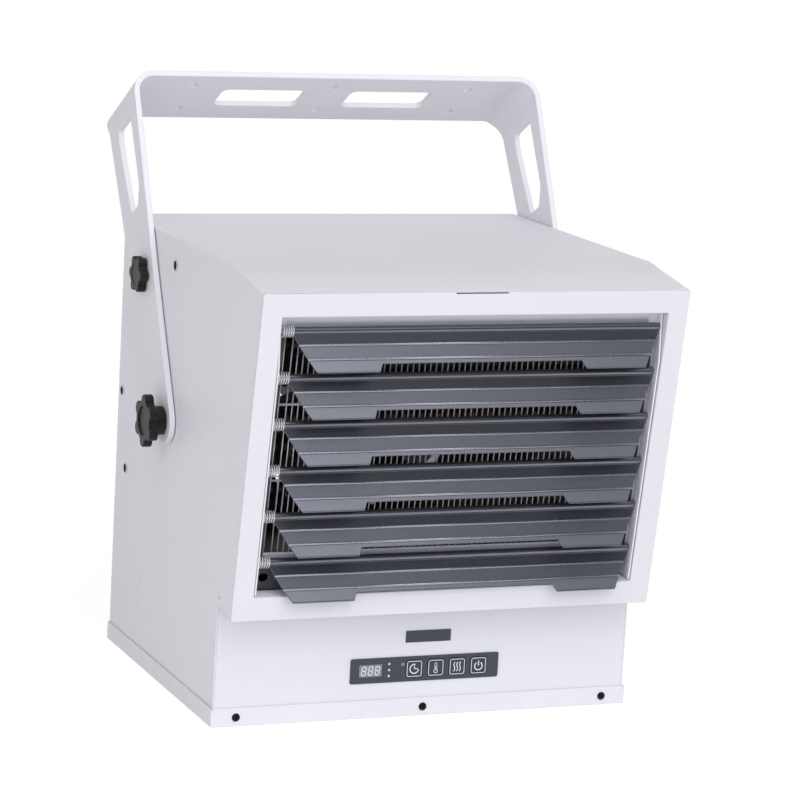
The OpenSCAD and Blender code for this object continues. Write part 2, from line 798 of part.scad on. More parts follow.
module spacer_washers() color("#3a3a3d") for (side = [-1, 1])
  scale([side, 1, 1]) translate([0, 0, pivot_z]) difference() {
    bar_x(12, body_w / 2 + 0.02, arm_in - 0.06);
    bar_x(insert_flange_r + 0.2, 0, body_w);
  }

module threaded_inserts() color(bright_steel) for (side = [-1, 1]) scale([side, 1, 1])
  for (place = insert_places) translate([body_w / 2, place[0], pivot_z + place[1]]) difference() {
    union() {
      bar_x(insert_flange_r, 0, insert_flange_t);
      bar_x(insert_r, -insert_len, insert_flange_t / 2);
    }
    bar_x(stud_r + stud_gap, -insert_len - over, insert_flange_t + over);
  }

// ---------- knobs ----------

// A six-lobed star knob with its back face at x = 0 and its face towards +x
module star_knob(tip_r, disc_t, hub_r, hub_len, bore_len, dish) {
  lobe_r = tip_r * 0.27;
  waist_r = tip_r * 0.77;
  dish_r = tip_r * 0.56;
  difference() {
    union() {
      rotate([90, 0, 90]) translate([0, 0, hub_len]) linear_extrude(disc_t) {
        circle(waist_r);
        for (k = [0 : 5]) rotate(30 + 60 * k) translate([tip_r - lobe_r, 0]) circle(lobe_r);
      }
      bar_x(hub_r, 0, hub_len + over);
    }
    bar_x(stud_r + knob_bore_gap, -over, bore_len);
    translate([hub_len + disc_t, 0, 0]) bar_x(dish_r, -dish, over);
  }
}

module pivot_place(side) {
  translate([side * (arm_out + knob_seat), 0, pivot_z]) mirror([side < 0 ? 1 : 0, 0, 0]) children();
}

module lock_place_on_arm(side) {
  in_bracket() translate([side * (arm_out + knob_seat), 0, lock_r])
    mirror([side < 0 ? 1 : 0, 0, 0]) children();
}

pivot_bore_len = pivot_hub_len + pivot_knob_t - 5;
lock_hub_len = 1;
lock_bore_len = lock_hub_len + lock_knob_t - 3;

module pivot_knob() star_knob(pivot_knob_r, pivot_knob_t, 12.5, pivot_hub_len, pivot_bore_len, 1.6);
module lock_knob() star_knob(lock_knob_r, lock_knob_t, 8, lock_hub_len, lock_bore_len, 0.5);

module pivot_knob_left() color(knob_black) pivot_place(-1) pivot_knob();
module pivot_knob_right() color(knob_black) pivot_place(1) pivot_knob();
module lock_knob_left() color(knob_black) lock_place_on_arm(-1) lock_knob();
module lock_knob_right() color(knob_black) lock_place_on_arm(1) lock_knob();

// The pivot studs reach through arm, washer and insert
module pivot_stud(side) color("silver") pivot_place(side)
  bar_x(stud_r, -bracket_t - arm_gap - insert_len, pivot_bore_len - 0.1);
module pivot_stud_left() pivot_stud(-1);
module pivot_stud_right() pivot_stud(1);

// The lock studs are drawn backed out to the arm's inner face
module lock_stud(side) color("silver") lock_place_on_arm(side)
  bar_x(stud_r, -bracket_t - 0.05, lock_bore_len - 0.1);
module lock_stud_left() lock_stud(-1);
module lock_stud_right() lock_stud(1);

// ---------- fan ----------

module fan_blade() color("#cfd0d4") translate([0, fan_y, fan_z]) difference() {
  blade_sheet_t = 1.6;
  corner_r = 4;
  blade_pts = [[20, -17], [fan_r * 0.9, -38], [fan_r, 4], [fan_r * 0.86, 38], [20, 17]];
  union() {
    bar_y(fan_hub_r, -fan_hub_len / 2, fan_hub_len / 2);
    for (k = [0 : fan_blades - 1]) rotate([0, 360 * k / fan_blades, 0])
      rotate([blade_pitch, 0, 0]) rotate([90, 0, 0]) linear_extrude(blade_sheet_t, center = true)
        intersection() {
          polygon(rounded(blade_pts, corner_r));
          circle(fan_r, $fn = 96);
        }
  }
  bar_y(shaft_r + knob_bore_gap, -fan_hub_len, fan_hub_len);
}

module motor_shaft() color("silver") translate([0, 0, fan_z])
  bar_y(shaft_r, fan_y - fan_hub_len / 2 - 4, motor_back - 8);

module fan_motor() color("#6b6d74") translate([0, 0, fan_z]) {
  boss_len = 5;
  boss_r = motor_r * 0.4;
  vent_r = 3;
  vent_ring_r = motor_r * 0.72;
  difference() {
    union() {
      bar_y(motor_r, motor_front, motor_back);
      bar_y(boss_r, motor_front - boss_len, motor_front + over);
    }
    bar_y(shaft_r + stud_gap, motor_front - boss_len - over, motor_back - 7);
    for (a = [0 : 45 : 315]) rotate([0, a, 0]) translate([vent_ring_r, 0, 0])
      bar_y(vent_r, motor_front - over, motor_front + 6);
  }
}

module motor_mount() color(zinc_grey) {
  strap_w = 34;
  hole_up = inlet_r + 5;
  difference() {
    span([-strap_w / 2, motor_back, shelf_top + 0.4], [strap_w / 2, rear_y - sheet_t, ceiling_z - 1.5]);
    for (z = [-1, 1]) translate([0, 0, fan_z + z * hole_up]) bar_y(2.2, motor_back - over, rear_y);
  }
}

module fan_shroud() color(zinc_grey) {
  half_w = nested_w / 2 - shield_play;
  plate_y = fan_y + 2;
  ring_len = 12;
  ring_r = fan_r + tip_gap;
  difference() {
    union() {
      span([-half_w, plate_y, shelf_top + 0.1], [half_w, plate_y + sheet_t, body_h - sheet_t - 0.2]);
      translate([0, 0, fan_z]) bar_y(ring_r + sheet_t, plate_y - ring_len, plate_y + sheet_t);
    }
    translate([0, 0, fan_z]) bar_y(ring_r, plate_y - ring_len - over, plate_y + sheet_t + over);
  }
}

// ---------- heating ----------

element_mid_s = (frame_top_s + frame_bottom_s) / 2;
leg_s = [for (u = [-1, 0, 1]) for (side = [-1, 1])
  element_mid_s + u * element_pitch + side * leg_pitch / 2];

module element_end_plates() color(zinc_grey) in_hood() for (side = [-1, 1]) scale([side, 1, 1])
  difference() {
    span([end_plate_x, frame_back, -frame_bottom_s], [end_plate_x + sheet_t, 78, -frame_top_s]);
    for (s = leg_s) translate([0, element_d, -s]) bar_x(tube_r + 0.2, 0, body_w);
  }

leg_x0 = -end_plate_x - 3;
bend_x = end_plate_x + 2.5;
fin_t = 0.8;
fin_reach = end_plate_x - 10;
fin_count = floor(2 * fin_reach / fin_pitch);

// Half of a finned leg's section, turned about its own axis
function fin_pts(x) = [[tube_r, x], [fin_r, x], [fin_r, x + fin_t], [tube_r, x + fin_t]];
module finned_leg_profile() {
  start = -((fin_count - 1) * fin_pitch + fin_t) / 2;
  polygon(concat(
    [[0, leg_x0], [tube_r, leg_x0]],
    [for (k = [0 : fin_count - 1]) each fin_pts(start + k * fin_pitch)],
    [[tube_r, bend_x + 0.01], [0, bend_x + 0.01]]
  ));
}

module heating_elements() color("#5a4a44") in_hood() translate([0, element_d, 0]) {
  for (s = leg_s) translate([0, 0, -s]) rotate([0, 90, 0]) rotate_extrude() finned_leg_profile();
  for (u = [-1, 0, 1]) translate([bend_x, 0, -element_mid_s - u * element_pitch])
    rotate([90, 0, 0]) rotate([0, 0, -90])
      rotate_extrude(angle = 180) translate([leg_pitch / 2, 0]) circle(tube_r);
}

// A ceramic collar, a threaded stud and its nut at the end of each leg
module element_terminals() color("#d9d4c6") in_hood() translate([0, element_d, 0])
  for (s = leg_s) translate([leg_x0, 0, -s]) {
    bar_x(5.2, -6, 0);
    bar_x(2, -14, -5);
    bar_x(3.4, -9, -6.5);
  }

// A button thermostat that reaches through the upper heat shield, with two tabs
module thermal_cutout() color("#2b2b2e") translate(cutout_place) {
  translate([0, 0, ceiling_z - 7]) cylinder(r = 8, h = 7 - sheet_t);
  translate([0, 0, ceiling_z - sheet_t - 1]) cylinder(r = 6, h = 6);
  for (side = [-1, 1]) span([side * 4 - 1.5, -0.4, ceiling_z + 3], [side * 4 + 1.5, 0.4, ceiling_z + 11]);
}

// ---------- electrics on the base ----------

// Three ways between four ribs, each with a wire hole and a screw hole
module terminal_block() color("#e4e0d0") translate([-128, 40, floor_z]) difference() {
  half_w = 18;
  half_l = 32;
  rib_t = 1.6;
  way = 20.8;
  union() {
    span([-half_w, -half_l, 0], [half_w, half_l, 14]);
    for (k = [0 : 3]) span([-half_w, k * way - half_l, 13], [half_w, k * way - half_l + rib_t, 26]);
  }
  for (k = [-1 : 1]) translate([0, k * way, 0]) {
    translate([0, 0, 7]) bar_x(3, -half_l, half_l);
    cylinder(r = 2.5, h = 30);
  }
}

// Two relays with four blade tabs each
module power_relays() color("#33506e") for (x = [-60, -18]) translate([x, 40, floor_z]) {
  span([-15, -26, 0], [15, 26, 34]);
  for (sx = [-8, 8]) for (sy = [-16, 16]) span([sx - 3, sy - 0.4, 33], [sx + 3, sy + 0.4, 42]);
}

// A laminated core with the winding round its middle
module transformer() color("#7a5c34") translate([80, 40, floor_z]) {
  span([-26, -12, 0], [26, 12, 42]);
  difference() {
    span([-16, -22, 8], [16, 22, 34]);
    span([-17, -12, 7], [17, 12, 35]);
  }
}

// ---------- controls ----------

keys_x = [for (k = [0 : 3]) key_first_x + k * key_pitch];

// The openings for keys, display, lamps and receiver, with a clearance round each
module control_openings(y0, y1) {
  key_hole = key_w + 2 * key_gap;
  for (x = keys_x) front_plate(x, overlay_z, key_hole, key_hole, key_r + key_gap, y0, y1);
  front_plate(display_x, overlay_z, display_w + 2 * key_gap, display_h + 2 * key_gap, 1, y0, y1);
  for (k = [-1 : 1]) translate([lamp_x, 0, overlay_z + k * lamp_drop]) bar_y(lamp_r + key_gap, y0, y1);
  translate([ir_x, 0, ir_z]) bar_y(ir_r + key_gap, y0, y1);
}

module control_overlay() color(overlay_grey) difference() {
  front_plate(0.5, overlay_z, overlay_w, overlay_h, 1.8, front_y - overlay_t, front_y);
  control_openings(front_y - overlay_t - over, front_y + over);
}

module control_board() color("#2d5a3a") translate([0, board_y, overlay_z])
  span([-board_w / 2, 0, -board_h / 2], [board_w / 2, board_t, board_h / 2]);

module board_spacers() color(bright_steel) for (x = [-1, 1]) for (z = [-1, 1])
  translate([x * (board_w / 2 - 4), 0, overlay_z + z * (board_h / 2 - 4)]) bar_y(2.5, panel_back, board_y);

switch_top = 3.2;
plunger_h = 1;
module key_switches() color("#1d1d20") for (x = keys_x) translate([x, board_y, overlay_z]) {
  span([-3, -switch_top, -3], [3, 0, 3]);
  bar_y(1.7, -switch_top - plunger_h, -switch_top + 0.5);
}

// A key's cap stands proud of the overlay; its flange stays behind the panel
module key(k) color("#34363f") {
  cap_rise = 0.3;
  flange_w = key_w + 1.8;
  flange_t = 1.2;
  flange_y = panel_back + 0.3;
  stem_end = board_y - switch_top - plunger_h - key_travel - 0.05;
  x = keys_x[k];
  front_plate(x, overlay_z, key_w, key_w, key_r, front_y - overlay_t - cap_rise, flange_y + 0.5);
  front_plate(x, overlay_z, flange_w, flange_w, 1, flange_y, flange_y + flange_t);
  translate([x, 0, overlay_z]) bar_y(3, flange_y + flange_t / 2, stem_end);
}

module key_timer() key(0);
module key_temperature() key(1);
module key_mode() key(2);
module key_power() key(3);

module display_module() color("#101014")
  front_plate(display_x, overlay_z, display_w, display_h, 0.7, front_y - overlay_t + 0.1, board_y);

module indicator_leds() color("#8fae8a") for (k = [-1 : 1])
  translate([lamp_x, 0, overlay_z + k * lamp_drop]) bar_y(lamp_r, front_y - overlay_t, board_y);

module infrared_window() color("#1a0f14")
  translate([ir_x, 0, ir_z]) bar_y(ir_r, front_y - overlay_t, board_y);

module badge_plate() color(overlay_grey)
  front_plate(badge_x, badge_z, badge_w, badge_h, 0.8, front_y - 0.8, front_y);

// ---------- fasteners and knockout ----------

// A pan-head screw along y with its head's seat at y0, the head towards -y
module pan_screw_y(y0, len) {
  bar_y(screw_r, y0 - screw_head_t / 2, y0 + len);
  bar_y(screw_head_r, y0 - screw_head_t, y0);
}

module front_screws() color(knob_black)
  at_pan_screws() pan_screw_y(front_y - pan_gap - sheet_t, 8);

module body_screws() color(bright_steel) {
  at_pan_screws() rotate([0, 0, 180]) pan_screw_y(-rear_y - pan_gap - sheet_t, 8);
  translate([0, 0, fan_z]) at_guard_screws() rotate([0, 0, 180]) pan_screw_y(-guard_eye_y, 7);
}

module knockout_disc() color(powder_white) translate([-body_w / 2, knockout_y, knockout_z])
  bar_x(knockout_r - 0.2, 0.05, sheet_t);

// ---------- the nodes ----------

cabinet_wrap();
front_bezel();
lower_front_panel();
base_pan();
rear_panel();
rear_fan_guard();
outlet_guard();
louver_bracket_left();
louver_bracket_right();
upper_heat_shield();
lower_heat_shield();
louver_pins();
louver_springs();
louver_1();
louver_2();
louver_3();
louver_4();
louver_5();
louver_6();
hanging_bracket();
spacer_washers();
threaded_inserts();
pivot_knob_left();
pivot_knob_right();
pivot_stud_left();
pivot_stud_right();
lock_knob_left();
lock_knob_right();
lock_stud_left();
lock_stud_right();
fan_blade();
motor_shaft();
fan_motor();
motor_mount();
fan_shroud();
element_end_plates();
heating_elements();
element_terminals();
thermal_cutout();
terminal_block();
power_relays();
transformer();
control_board();
board_spacers();
key_switches();
display_module();
indicator_leds();
infrared_window();
control_overlay();
key_timer();
key_temperature();
key_mode();
key_power();
badge_plate();
front_screws();
body_screws();
knockout_disc();
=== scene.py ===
"""Looks of a ceiling-mounted fan heater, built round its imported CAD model.

The heater is a powder-coated steel cabinet with a tilted outlet, six dark louvers, a strip of
controls and a bracket that turns about star knobs. Lengths are in metres, and places come from
the CAD nodes, in the same frame.
"""

import json
import math

import bmesh
import bpy
from mathutils import Matrix, Vector


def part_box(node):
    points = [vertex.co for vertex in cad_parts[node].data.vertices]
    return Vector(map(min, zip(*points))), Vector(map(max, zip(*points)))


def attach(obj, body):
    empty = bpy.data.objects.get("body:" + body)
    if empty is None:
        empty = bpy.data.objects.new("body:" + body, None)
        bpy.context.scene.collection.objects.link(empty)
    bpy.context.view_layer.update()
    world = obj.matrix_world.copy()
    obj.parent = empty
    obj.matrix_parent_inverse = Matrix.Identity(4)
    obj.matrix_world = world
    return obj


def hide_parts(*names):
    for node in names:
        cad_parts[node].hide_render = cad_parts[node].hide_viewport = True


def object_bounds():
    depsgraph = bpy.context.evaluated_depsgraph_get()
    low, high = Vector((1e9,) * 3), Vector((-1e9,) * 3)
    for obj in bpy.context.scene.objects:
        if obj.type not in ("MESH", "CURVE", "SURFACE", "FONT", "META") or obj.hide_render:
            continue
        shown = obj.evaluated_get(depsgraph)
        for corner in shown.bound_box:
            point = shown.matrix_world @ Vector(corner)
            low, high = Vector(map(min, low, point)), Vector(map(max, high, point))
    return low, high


bl_info = {
    "name": "Ceiling Fan Heater",
    "version": (1, 0, 0),
    "blender": (4, 5, 0),
    "location": "3D View > Sidebar > Heater",
    "description": "Finishes a ceiling-mounted fan heater round its CAD model",
    "category": "Object",
}

MM = 0.001
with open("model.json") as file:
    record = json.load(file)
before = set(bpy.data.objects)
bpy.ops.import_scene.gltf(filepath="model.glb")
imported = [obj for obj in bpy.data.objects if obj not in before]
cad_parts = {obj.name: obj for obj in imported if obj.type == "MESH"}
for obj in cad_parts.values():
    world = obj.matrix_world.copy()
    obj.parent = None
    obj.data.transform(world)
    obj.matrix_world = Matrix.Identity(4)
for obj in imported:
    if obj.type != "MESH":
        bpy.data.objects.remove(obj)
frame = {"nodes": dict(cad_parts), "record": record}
CAD_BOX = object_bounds()
NODES = frame["nodes"]
RECORD = frame["record"]
BODY_OF = {node: body for body, nodes in RECORD["behaviour"]["bodies"].items() for node in nodes}
SLOT_OF = {part["node"]: part["material_slot"] for part in RECORD["subparts"]}
JOINTS = {joint["name"]: joint for joint in RECORD["behaviour"]["joints"]}
LOUVERS = [f"louver_{i}" for i in range(1, 7)]
KEYS = ["key_timer", "key_temperature", "key_mode", "key_power"]

WELD = 0.002 * MM  # corners nearer than this are one
EDGE_ANGLE = math.radians(30)  # a steeper bend between two faces is an edge
SHEET_SIDE = 4 * MM  # a face that reaches further is the side of a sheet, not its cut edge
TURNED_SIDES = 24  # sides of a turned piece
INK = 0.03 * MM  # thickness of a printed line
MIX_FIRST, MIX_SECOND, MIX_RESULT = 6, 7, 2  # a Mix node's sockets for colours

# The hood's own directions: down the bezel, and straight in through the bezel
LOUVER_PIVOTS = [Vector(JOINTS[f"{name}_tilt"]["pos_m"]) for name in LOUVERS]
DOWN = (LOUVER_PIVOTS[-1] - LOUVER_PIVOTS[0]).normalized()
INWARD = Vector((0, -DOWN.z, DOWN.y))


def srgb(text):
    """An sRGB hex colour as linear red, green, blue and alpha."""
    values = [int(text[i : i + 2], 16) / 255 for i in (1, 3, 5)]
    return [v / 12.92 if v <= 0.04045 else ((v + 0.055) / 1.055) ** 2.4 for v in values] + [1.0]


# ---------------- settings


def colour_property(name, description, value):
    return bpy.props.FloatVectorProperty(
        name=name, description=description, subtype="COLOR", size=4, min=0, max=1, default=srgb(value)
    )


def length_property(name, description, millimetres):
    return bpy.props.FloatProperty(
        name=name, description=description, subtype="DISTANCE", unit="LENGTH", min=0, default=millimetres * MM
    )


class HEATER_PG_colours(bpy.types.PropertyGroup):
    """Colours of the heater's finishes"""

    powder: colour_property("Powder coat", "Colour of the painted cabinet and bracket", "#E4E4E9")
    louver: colour_property("Louver paint", "Colour of the metallic paint on the louvers", "#7F818B")
    knob: colour_property("Knobs", "Colour of the moulded knobs", "#0F0F11")
    zinc: colour_property("Zinc coat", "Colour of the galvanised sheets inside", "#909198")
    shield: colour_property("Heat shields", "Colour of the aluminised heat shields", "#E2E2EC")
    overlay: colour_property("Overlay", "Colour of the printed control film", "#373A45")
    key: colour_property("Keys", "Colour of the keys", "#2A2D3D")
    print_ink: colour_property("Symbols", "Colour of the printed symbols", "#E9E9EE")
    display: colour_property("Display window", "Colour of the display behind its lens", "#84868A")


class HEATER_PG_sizes(bpy.types.PropertyGroup):
    """Sizes of details that are too fine for the CAD model"""

    fold_radius: length_property("Fold radius", "Radius of the outside of a folded sheet", 1.3)
    cut_radius: length_property("Cut edge radius", "Radius that paint leaves on a cut sheet edge", 0.3)
    moulded_radius: length_property("Moulded radius", "Radius of the edges of moulded parts", 0.9)
    wire_radius: length_property("Guard wire radius", "Radius of the outlet guard's wires", 0.55)
    bead_radius: length_property("Bead radius", "Radius of the beads rolled along a louver", 1.0)
    line_width: length_property("Line width", "Width of the printed lines round the keys", 0.55)


def colours():
    return bpy.context.scene.heater_colours


def sizes():
    return bpy.context.scene.heater_sizes


# ---------------- mesh tools


def new_object(name, bm, material):
    """Makes an object from a bmesh."""
    mesh = bpy.data.meshes.new(name)
    bm.to_mesh(mesh)
    bm.free()
    mesh.materials.append(material)
    shape = bpy.data.objects.new(name, mesh)
    bpy.context.scene.collection.objects.link(shape)
    return shape


def new_piece(name, bm, node, maker=None):
    """Makes a piece on a node's body, with the node's slot, and its finish or another maker's."""
    piece = new_object(name, bm, finish(node, maker))
    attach(piece, BODY_OF[node])
    return piece


def face_width(face, edge):
    """How far a face reaches from one of its edges, on average."""
    return face.calc_area() / max(edge.calc_length(), 1e-6)


def clean_mesh(node):
    """A CAD node's mesh with the triangles of its flat faces joined."""
    flat = math.radians(0.3)
    bm = bmesh.new()
    bm.from_mesh(NODES[node].data)
    # where two solids of a node touch, the two faces between them go
    places = {}
    for face in bm.faces:
        places.setdefault(frozenset(vert.co.to_tuple(6) for vert in face.verts), []).append(face)
    between = [face for group in places.values() if len(group) > 1 for face in group]
    bmesh.ops.delete(bm, geom=between, context="FACES")
    bmesh.ops.remove_doubles(bm, verts=bm.verts, dist=WELD)
    bmesh.ops.dissolve_limit(bm, angle_limit=flat, verts=bm.verts, edges=bm.edges)
    for face in bm.faces:
        face.smooth = True
    return bm


def rounded_copy(node, bm, radius_of, segments=3, tight=False):
    """Replaces a CAD node by its mesh with rounded edges.

    radius_of gives an edge's radius from how far its faces reach and whether it is an outer one.
    A tight piece has short edges, whose rounding stops where it meets the next.
    """
    creased, wide, rounded_share = math.radians(2), 20 * MM, 0.4
    weights = bm.edges.layers.float.new("bevel_weight_edge")
    radii = {}
    for edge in bm.edges:
        if len(edge.link_faces) != 2:
            continue
        angle = edge.calc_face_angle(0)
        reach = min(face_width(face, edge) for face in edge.link_faces)
        edge.smooth = angle < EDGE_ANGLE and not (angle > creased and reach > wide)
        if angle > EDGE_ANGLE:
            radii[edge] = min(radius_of(reach, edge.is_convex), reach * rounded_share)
    widest = max(radii.values())
    for edge, radius in radii.items():
        edge[weights] = radius / widest
    piece = new_piece(f"{node}_finished", bm, node)
    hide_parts(node)
    bevel = piece.modifiers.new("edges", "BEVEL")
    bevel.limit_method = "WEIGHT"
    bevel.width = widest
    bevel.segments = segments
    bevel.use_clamp_overlap = tight
    flatten = piece.modifiers.new("flat_faces", "WEIGHTED_NORMAL")
    flatten.weight = 100
    flatten.keep_sharp = True


def softened_copy(node, fold, cut=None, segments=3, tight=False):
    """Rounds a CAD node's edges: by fold, but the narrow and inner ones by cut if it is given."""

    def rounding(reach, outer):
        return fold if cut is None or outer and reach > SHEET_SIDE else cut

    rounded_copy(node, clean_mesh(node), rounding, segments, tight)


def folded_sheet(node, fold):
    """Rounds the long outer folds of a sheet's CAD node, and leaves its cut edges square."""
    bm = clean_mesh(node)
    margin, few_corners, slender = fold * 1.6, 16, 1.5 * MM
    cut_beside_folds(bm, margin)
    narrow = [
        f for f in bm.faces if len(f.verts) < few_corners or f.calc_area() / f.calc_perimeter() < slender
    ]
    bmesh.ops.connect_verts_concave(bm, faces=narrow)
    whole = margin * 0.9
    rounded_copy(node, bm, lambda reach, outer: fold if outer and reach > whole else 0)


def cut_beside_folds(bm, margin):
    """Cuts the faces a margin away from each fold, so that its rounding moves no other corner."""
    shortest_fold, same_plane, parallel = 8 * MM, 0.02 * MM, 0.99999
    cuts = {}
    for edge in bm.edges:
        if len(edge.link_faces) != 2 or not edge.is_convex or edge.calc_length() < shortest_fold:
            continue
        widths = [face_width(face, edge) for face in edge.link_faces]
        if edge.calc_face_angle(0) < EDGE_ANGLE or min(widths) < SHEET_SIDE:
            continue
        for loop in edge.link_loops:
            face, start = loop.face, loop.vert.co
            inward = face.normal.cross(loop.link_loop_next.vert.co - start).normalized()
            point = start + inward * margin
            key = [round(value, 3) for value in (*inward, *face.normal)]
            key += [round(point.dot(inward), 5), round(point.dot(face.normal), 5)]
            cuts[tuple(key)] = (point, inward, face.normal.copy())
    for point, inward, normal in cuts.values():
        level = [f for f in bm.faces if f.normal.dot(normal) > parallel]
        flat = [f for f in level if abs((f.verts[0].co - point).dot(normal)) < same_plane]
        parts = {*flat, *(e for f in flat for e in f.edges), *(v for f in flat for v in f.verts)}
        bmesh.ops.bisect_plane(bm, geom=list(parts), dist=WELD / 2, plane_co=point, plane_no=inward)


def keep_nodes(*nodes):
    """Shows CAD nodes as they are, with their own finish."""
    for node in nodes:
        shown = NODES[node]
        if not shown.material_slots:
            shown.data.materials.append(None)
        for slot in shown.material_slots:
            slot.link = "OBJECT"
            slot.material = finish(node)


def islands(node):
    """The lowest and highest corner of each separate solid of a node."""
    bm = bmesh.new()
    bm.from_mesh(NODES[node].data)
    bmesh.ops.remove_doubles(bm, verts=bm.verts, dist=WELD)
    left = set(bm.verts)
    found = []
    while left:
        group, queue = [], [left.pop()]
        while queue:
            vert = queue.pop()
            group.append(vert.co.copy())
            linked = {edge.other_vert(vert) for edge in vert.link_edges} & left
            left -= linked
            queue += linked
        found.append([Vector([pick(p[k] for p in group) for k in range(3)]) for pick in (min, max)])
    bm.free()
    return sorted(found, key=lambda box: tuple(box[0]))


def circle(sides):
    """Cosine and sine at even steps round a circle."""
    turns = [2 * math.pi * k / sides for k in range(sides)]
    return [(math.cos(turn), math.sin(turn)) for turn in turns]


def neighbours(points, closed=False):
    """Each point of a line, with the one before it and the one after it."""
    count = len(points)
    for i, point in enumerate(points):
        before = points[i - 1] if i or closed else point
        after = points[(i + 1) % count] if i < count - 1 or closed else point
        yield point, before, after


def add_skin(bm, rings, closed=False, smooth=False):
    """Joins rings of corners by faces, with a cap on each end unless the line is closed."""
    sides = len(rings[0])
    for first, second in zip(rings, rings[1:] + rings[:1] if closed else rings[1:]):
        for k in range(sides):
            n = (k + 1) % sides
            bm.faces.new((first[k], first[n], second[n], second[k])).smooth = smooth
    if not closed:
        bm.faces.new(reversed(rings[0]))
        bm.faces.new(rings[-1])


def add_tube(bm, points, radius, sides):
    """Adds a round tube that follows points, with its rings turned as little as possible."""
    rings = []
    side = None
    for point, before, after in neighbours(points):
        along = (after - before).normalized()
        if side is None:
            side = along.orthogonal().normalized()
        side = (side - along * side.dot(along)).normalized()
        across = along.cross(side)
        rings.append([bm.verts.new(point + radius * (c * side + s * across)) for c, s in circle(sides)])
    add_skin(bm, rings, smooth=True)


def add_lathe(bm, profile, place):
    """Adds a solid turned about its own Z from (radius, height) pairs, moved by place."""
    rings = []
    for radius, height in profile:
        steps = circle(TURNED_SIDES) if radius else [(0, 0)]
        rings.append([bm.verts.new(place @ Vector((radius * c, radius * s, height))) for c, s in steps])
    for lower, upper in zip(rings, rings[1:]):
        for k in range(TURNED_SIDES):
            round_face = ((lower, k), (lower, k + 1), (upper, k + 1), (upper, k))
            corners = list(dict.fromkeys(ring[n % len(ring)] for ring, n in round_face))
            if len(corners) > 2:
                bm.faces.new(corners).smooth = True


def add_ribbon(bm, points, width, face_y, closed=False):
    """Adds a flat printed line through (x, z) points, on a front face at face_y."""
    rings = []
    for (x, z), before, after in neighbours(points, closed):
        along = Vector((after[0] - before[0], after[1] - before[1])).normalized()
        side = Vector((-along.y, along.x)) * width / 2
        corners = ((-side, 0), (side, 0), (side, INK), (-side, INK))
        rings.append([bm.verts.new((x + out.x, face_y - ink, z + out.y)) for out, ink in corners])
    add_skin(bm, rings, closed)


def arc(centre_x, centre_z, radius, start, end, steps):
    """Points of an arc in the front's plane, with its angles in degrees from +X."""
    turns = [math.radians(start + (end - start) * k / steps) for k in range(steps + 1)]
    return [(centre_x + radius * math.cos(t), centre_z + radius * math.sin(t)) for t in turns]


# ---------------- materials


def add_node(tree, kind, inputs=None, **settings):
    """Adds a node with its settings. An input is a value or another node's output."""
    node = tree.nodes.new(kind)
    for name, value in settings.items():
        setattr(node, name, value)
    for name, value in (inputs or {}).items():
        if isinstance(value, bpy.types.NodeSocket):
            tree.links.new(value, node.inputs[name])
        else:
            node.inputs[name].default_value = value
    return node


def new_surface(**inputs):
    """A material with one Principled shader, and its tree, shader and object coordinates."""
    material = bpy.data.materials.new("surface")
    material.use_nodes = True
    tree = material.node_tree
    shader = tree.nodes["Principled BSDF"]
    for socket, value in inputs.items():
        shader.inputs[socket.replace("_", " ")].default_value = value
    place = add_node(tree, "ShaderNodeTexCoord").outputs["Object"]
    return material, tree, shader, place


def mark_surface(tree, shader, pattern, tint=None, gloss=None, relief=None):
    """Lets a 0 to 1 pattern mix the base colour, spread the roughness and raise the surface.

    tint is two colours, each as hex text, numbers or an output. gloss is two roughnesses, and
    relief is a height in millimetres.
    """
    if tint:
        first, second = [srgb(colour) if isinstance(colour, str) else colour for colour in tint]
        ends = {"Factor": pattern, MIX_FIRST: first, MIX_SECOND: second}
        mixed = add_node(tree, "ShaderNodeMix", ends, data_type="RGBA")
        tree.links.new(mixed.outputs[MIX_RESULT], shader.inputs["Base Color"])
    if gloss:
        ends = {"Value": pattern, "To Min": gloss[0], "To Max": gloss[1]}
        spread = add_node(tree, "ShaderNodeMapRange", ends)
        tree.links.new(spread.outputs["Result"], shader.inputs["Roughness"])
    if relief:
        bump = add_node(tree, "ShaderNodeBump", {"Height": pattern, "Distance": relief * MM})
        tree.links.new(bump.outputs["Normal"], shader.inputs["Normal"])


def grained_surface(grain, tint, gloss=None, relief=None, detail=2.0, **inputs):
    """A material marked all over by one noise, with a grain of so many millimetres."""
    material, tree, shader, place = new_surface(**inputs)
    grains = {"Vector": place, "Scale": 1 / (grain * MM), "Detail": detail}
    noise = add_node(tree, "ShaderNodeTexNoise", grains)
    mark_surface(tree, shader, noise.outputs["Fac"], tint, gloss, relief)
    return material


def celled_surface(cell, tint, gloss, channel, **inputs):
    """A material of flat cells so many millimetres wide, each with its own colour and gloss."""
    material, tree, shader, place = new_surface(**inputs)
    cells = add_node(tree, "ShaderNodeTexVoronoi", {"Vector": place, "Scale": 1 / (cell * MM)})
    draws = add_node(tree, "ShaderNodeSeparateColor", {"Color": cells.outputs["Color"]}).outputs
    mark_surface(tree, shader, draws["Red"], tint=tint)
    mark_surface(tree, shader, draws[channel], gloss=gloss)
    return material


def shades(colour, dark, light):
    """A colour made darker and lighter, for the two ends of a pattern."""
    return [[min(1.0, c * factor) for c in colour[:3]] + [1.0] for factor in (dark, light)]


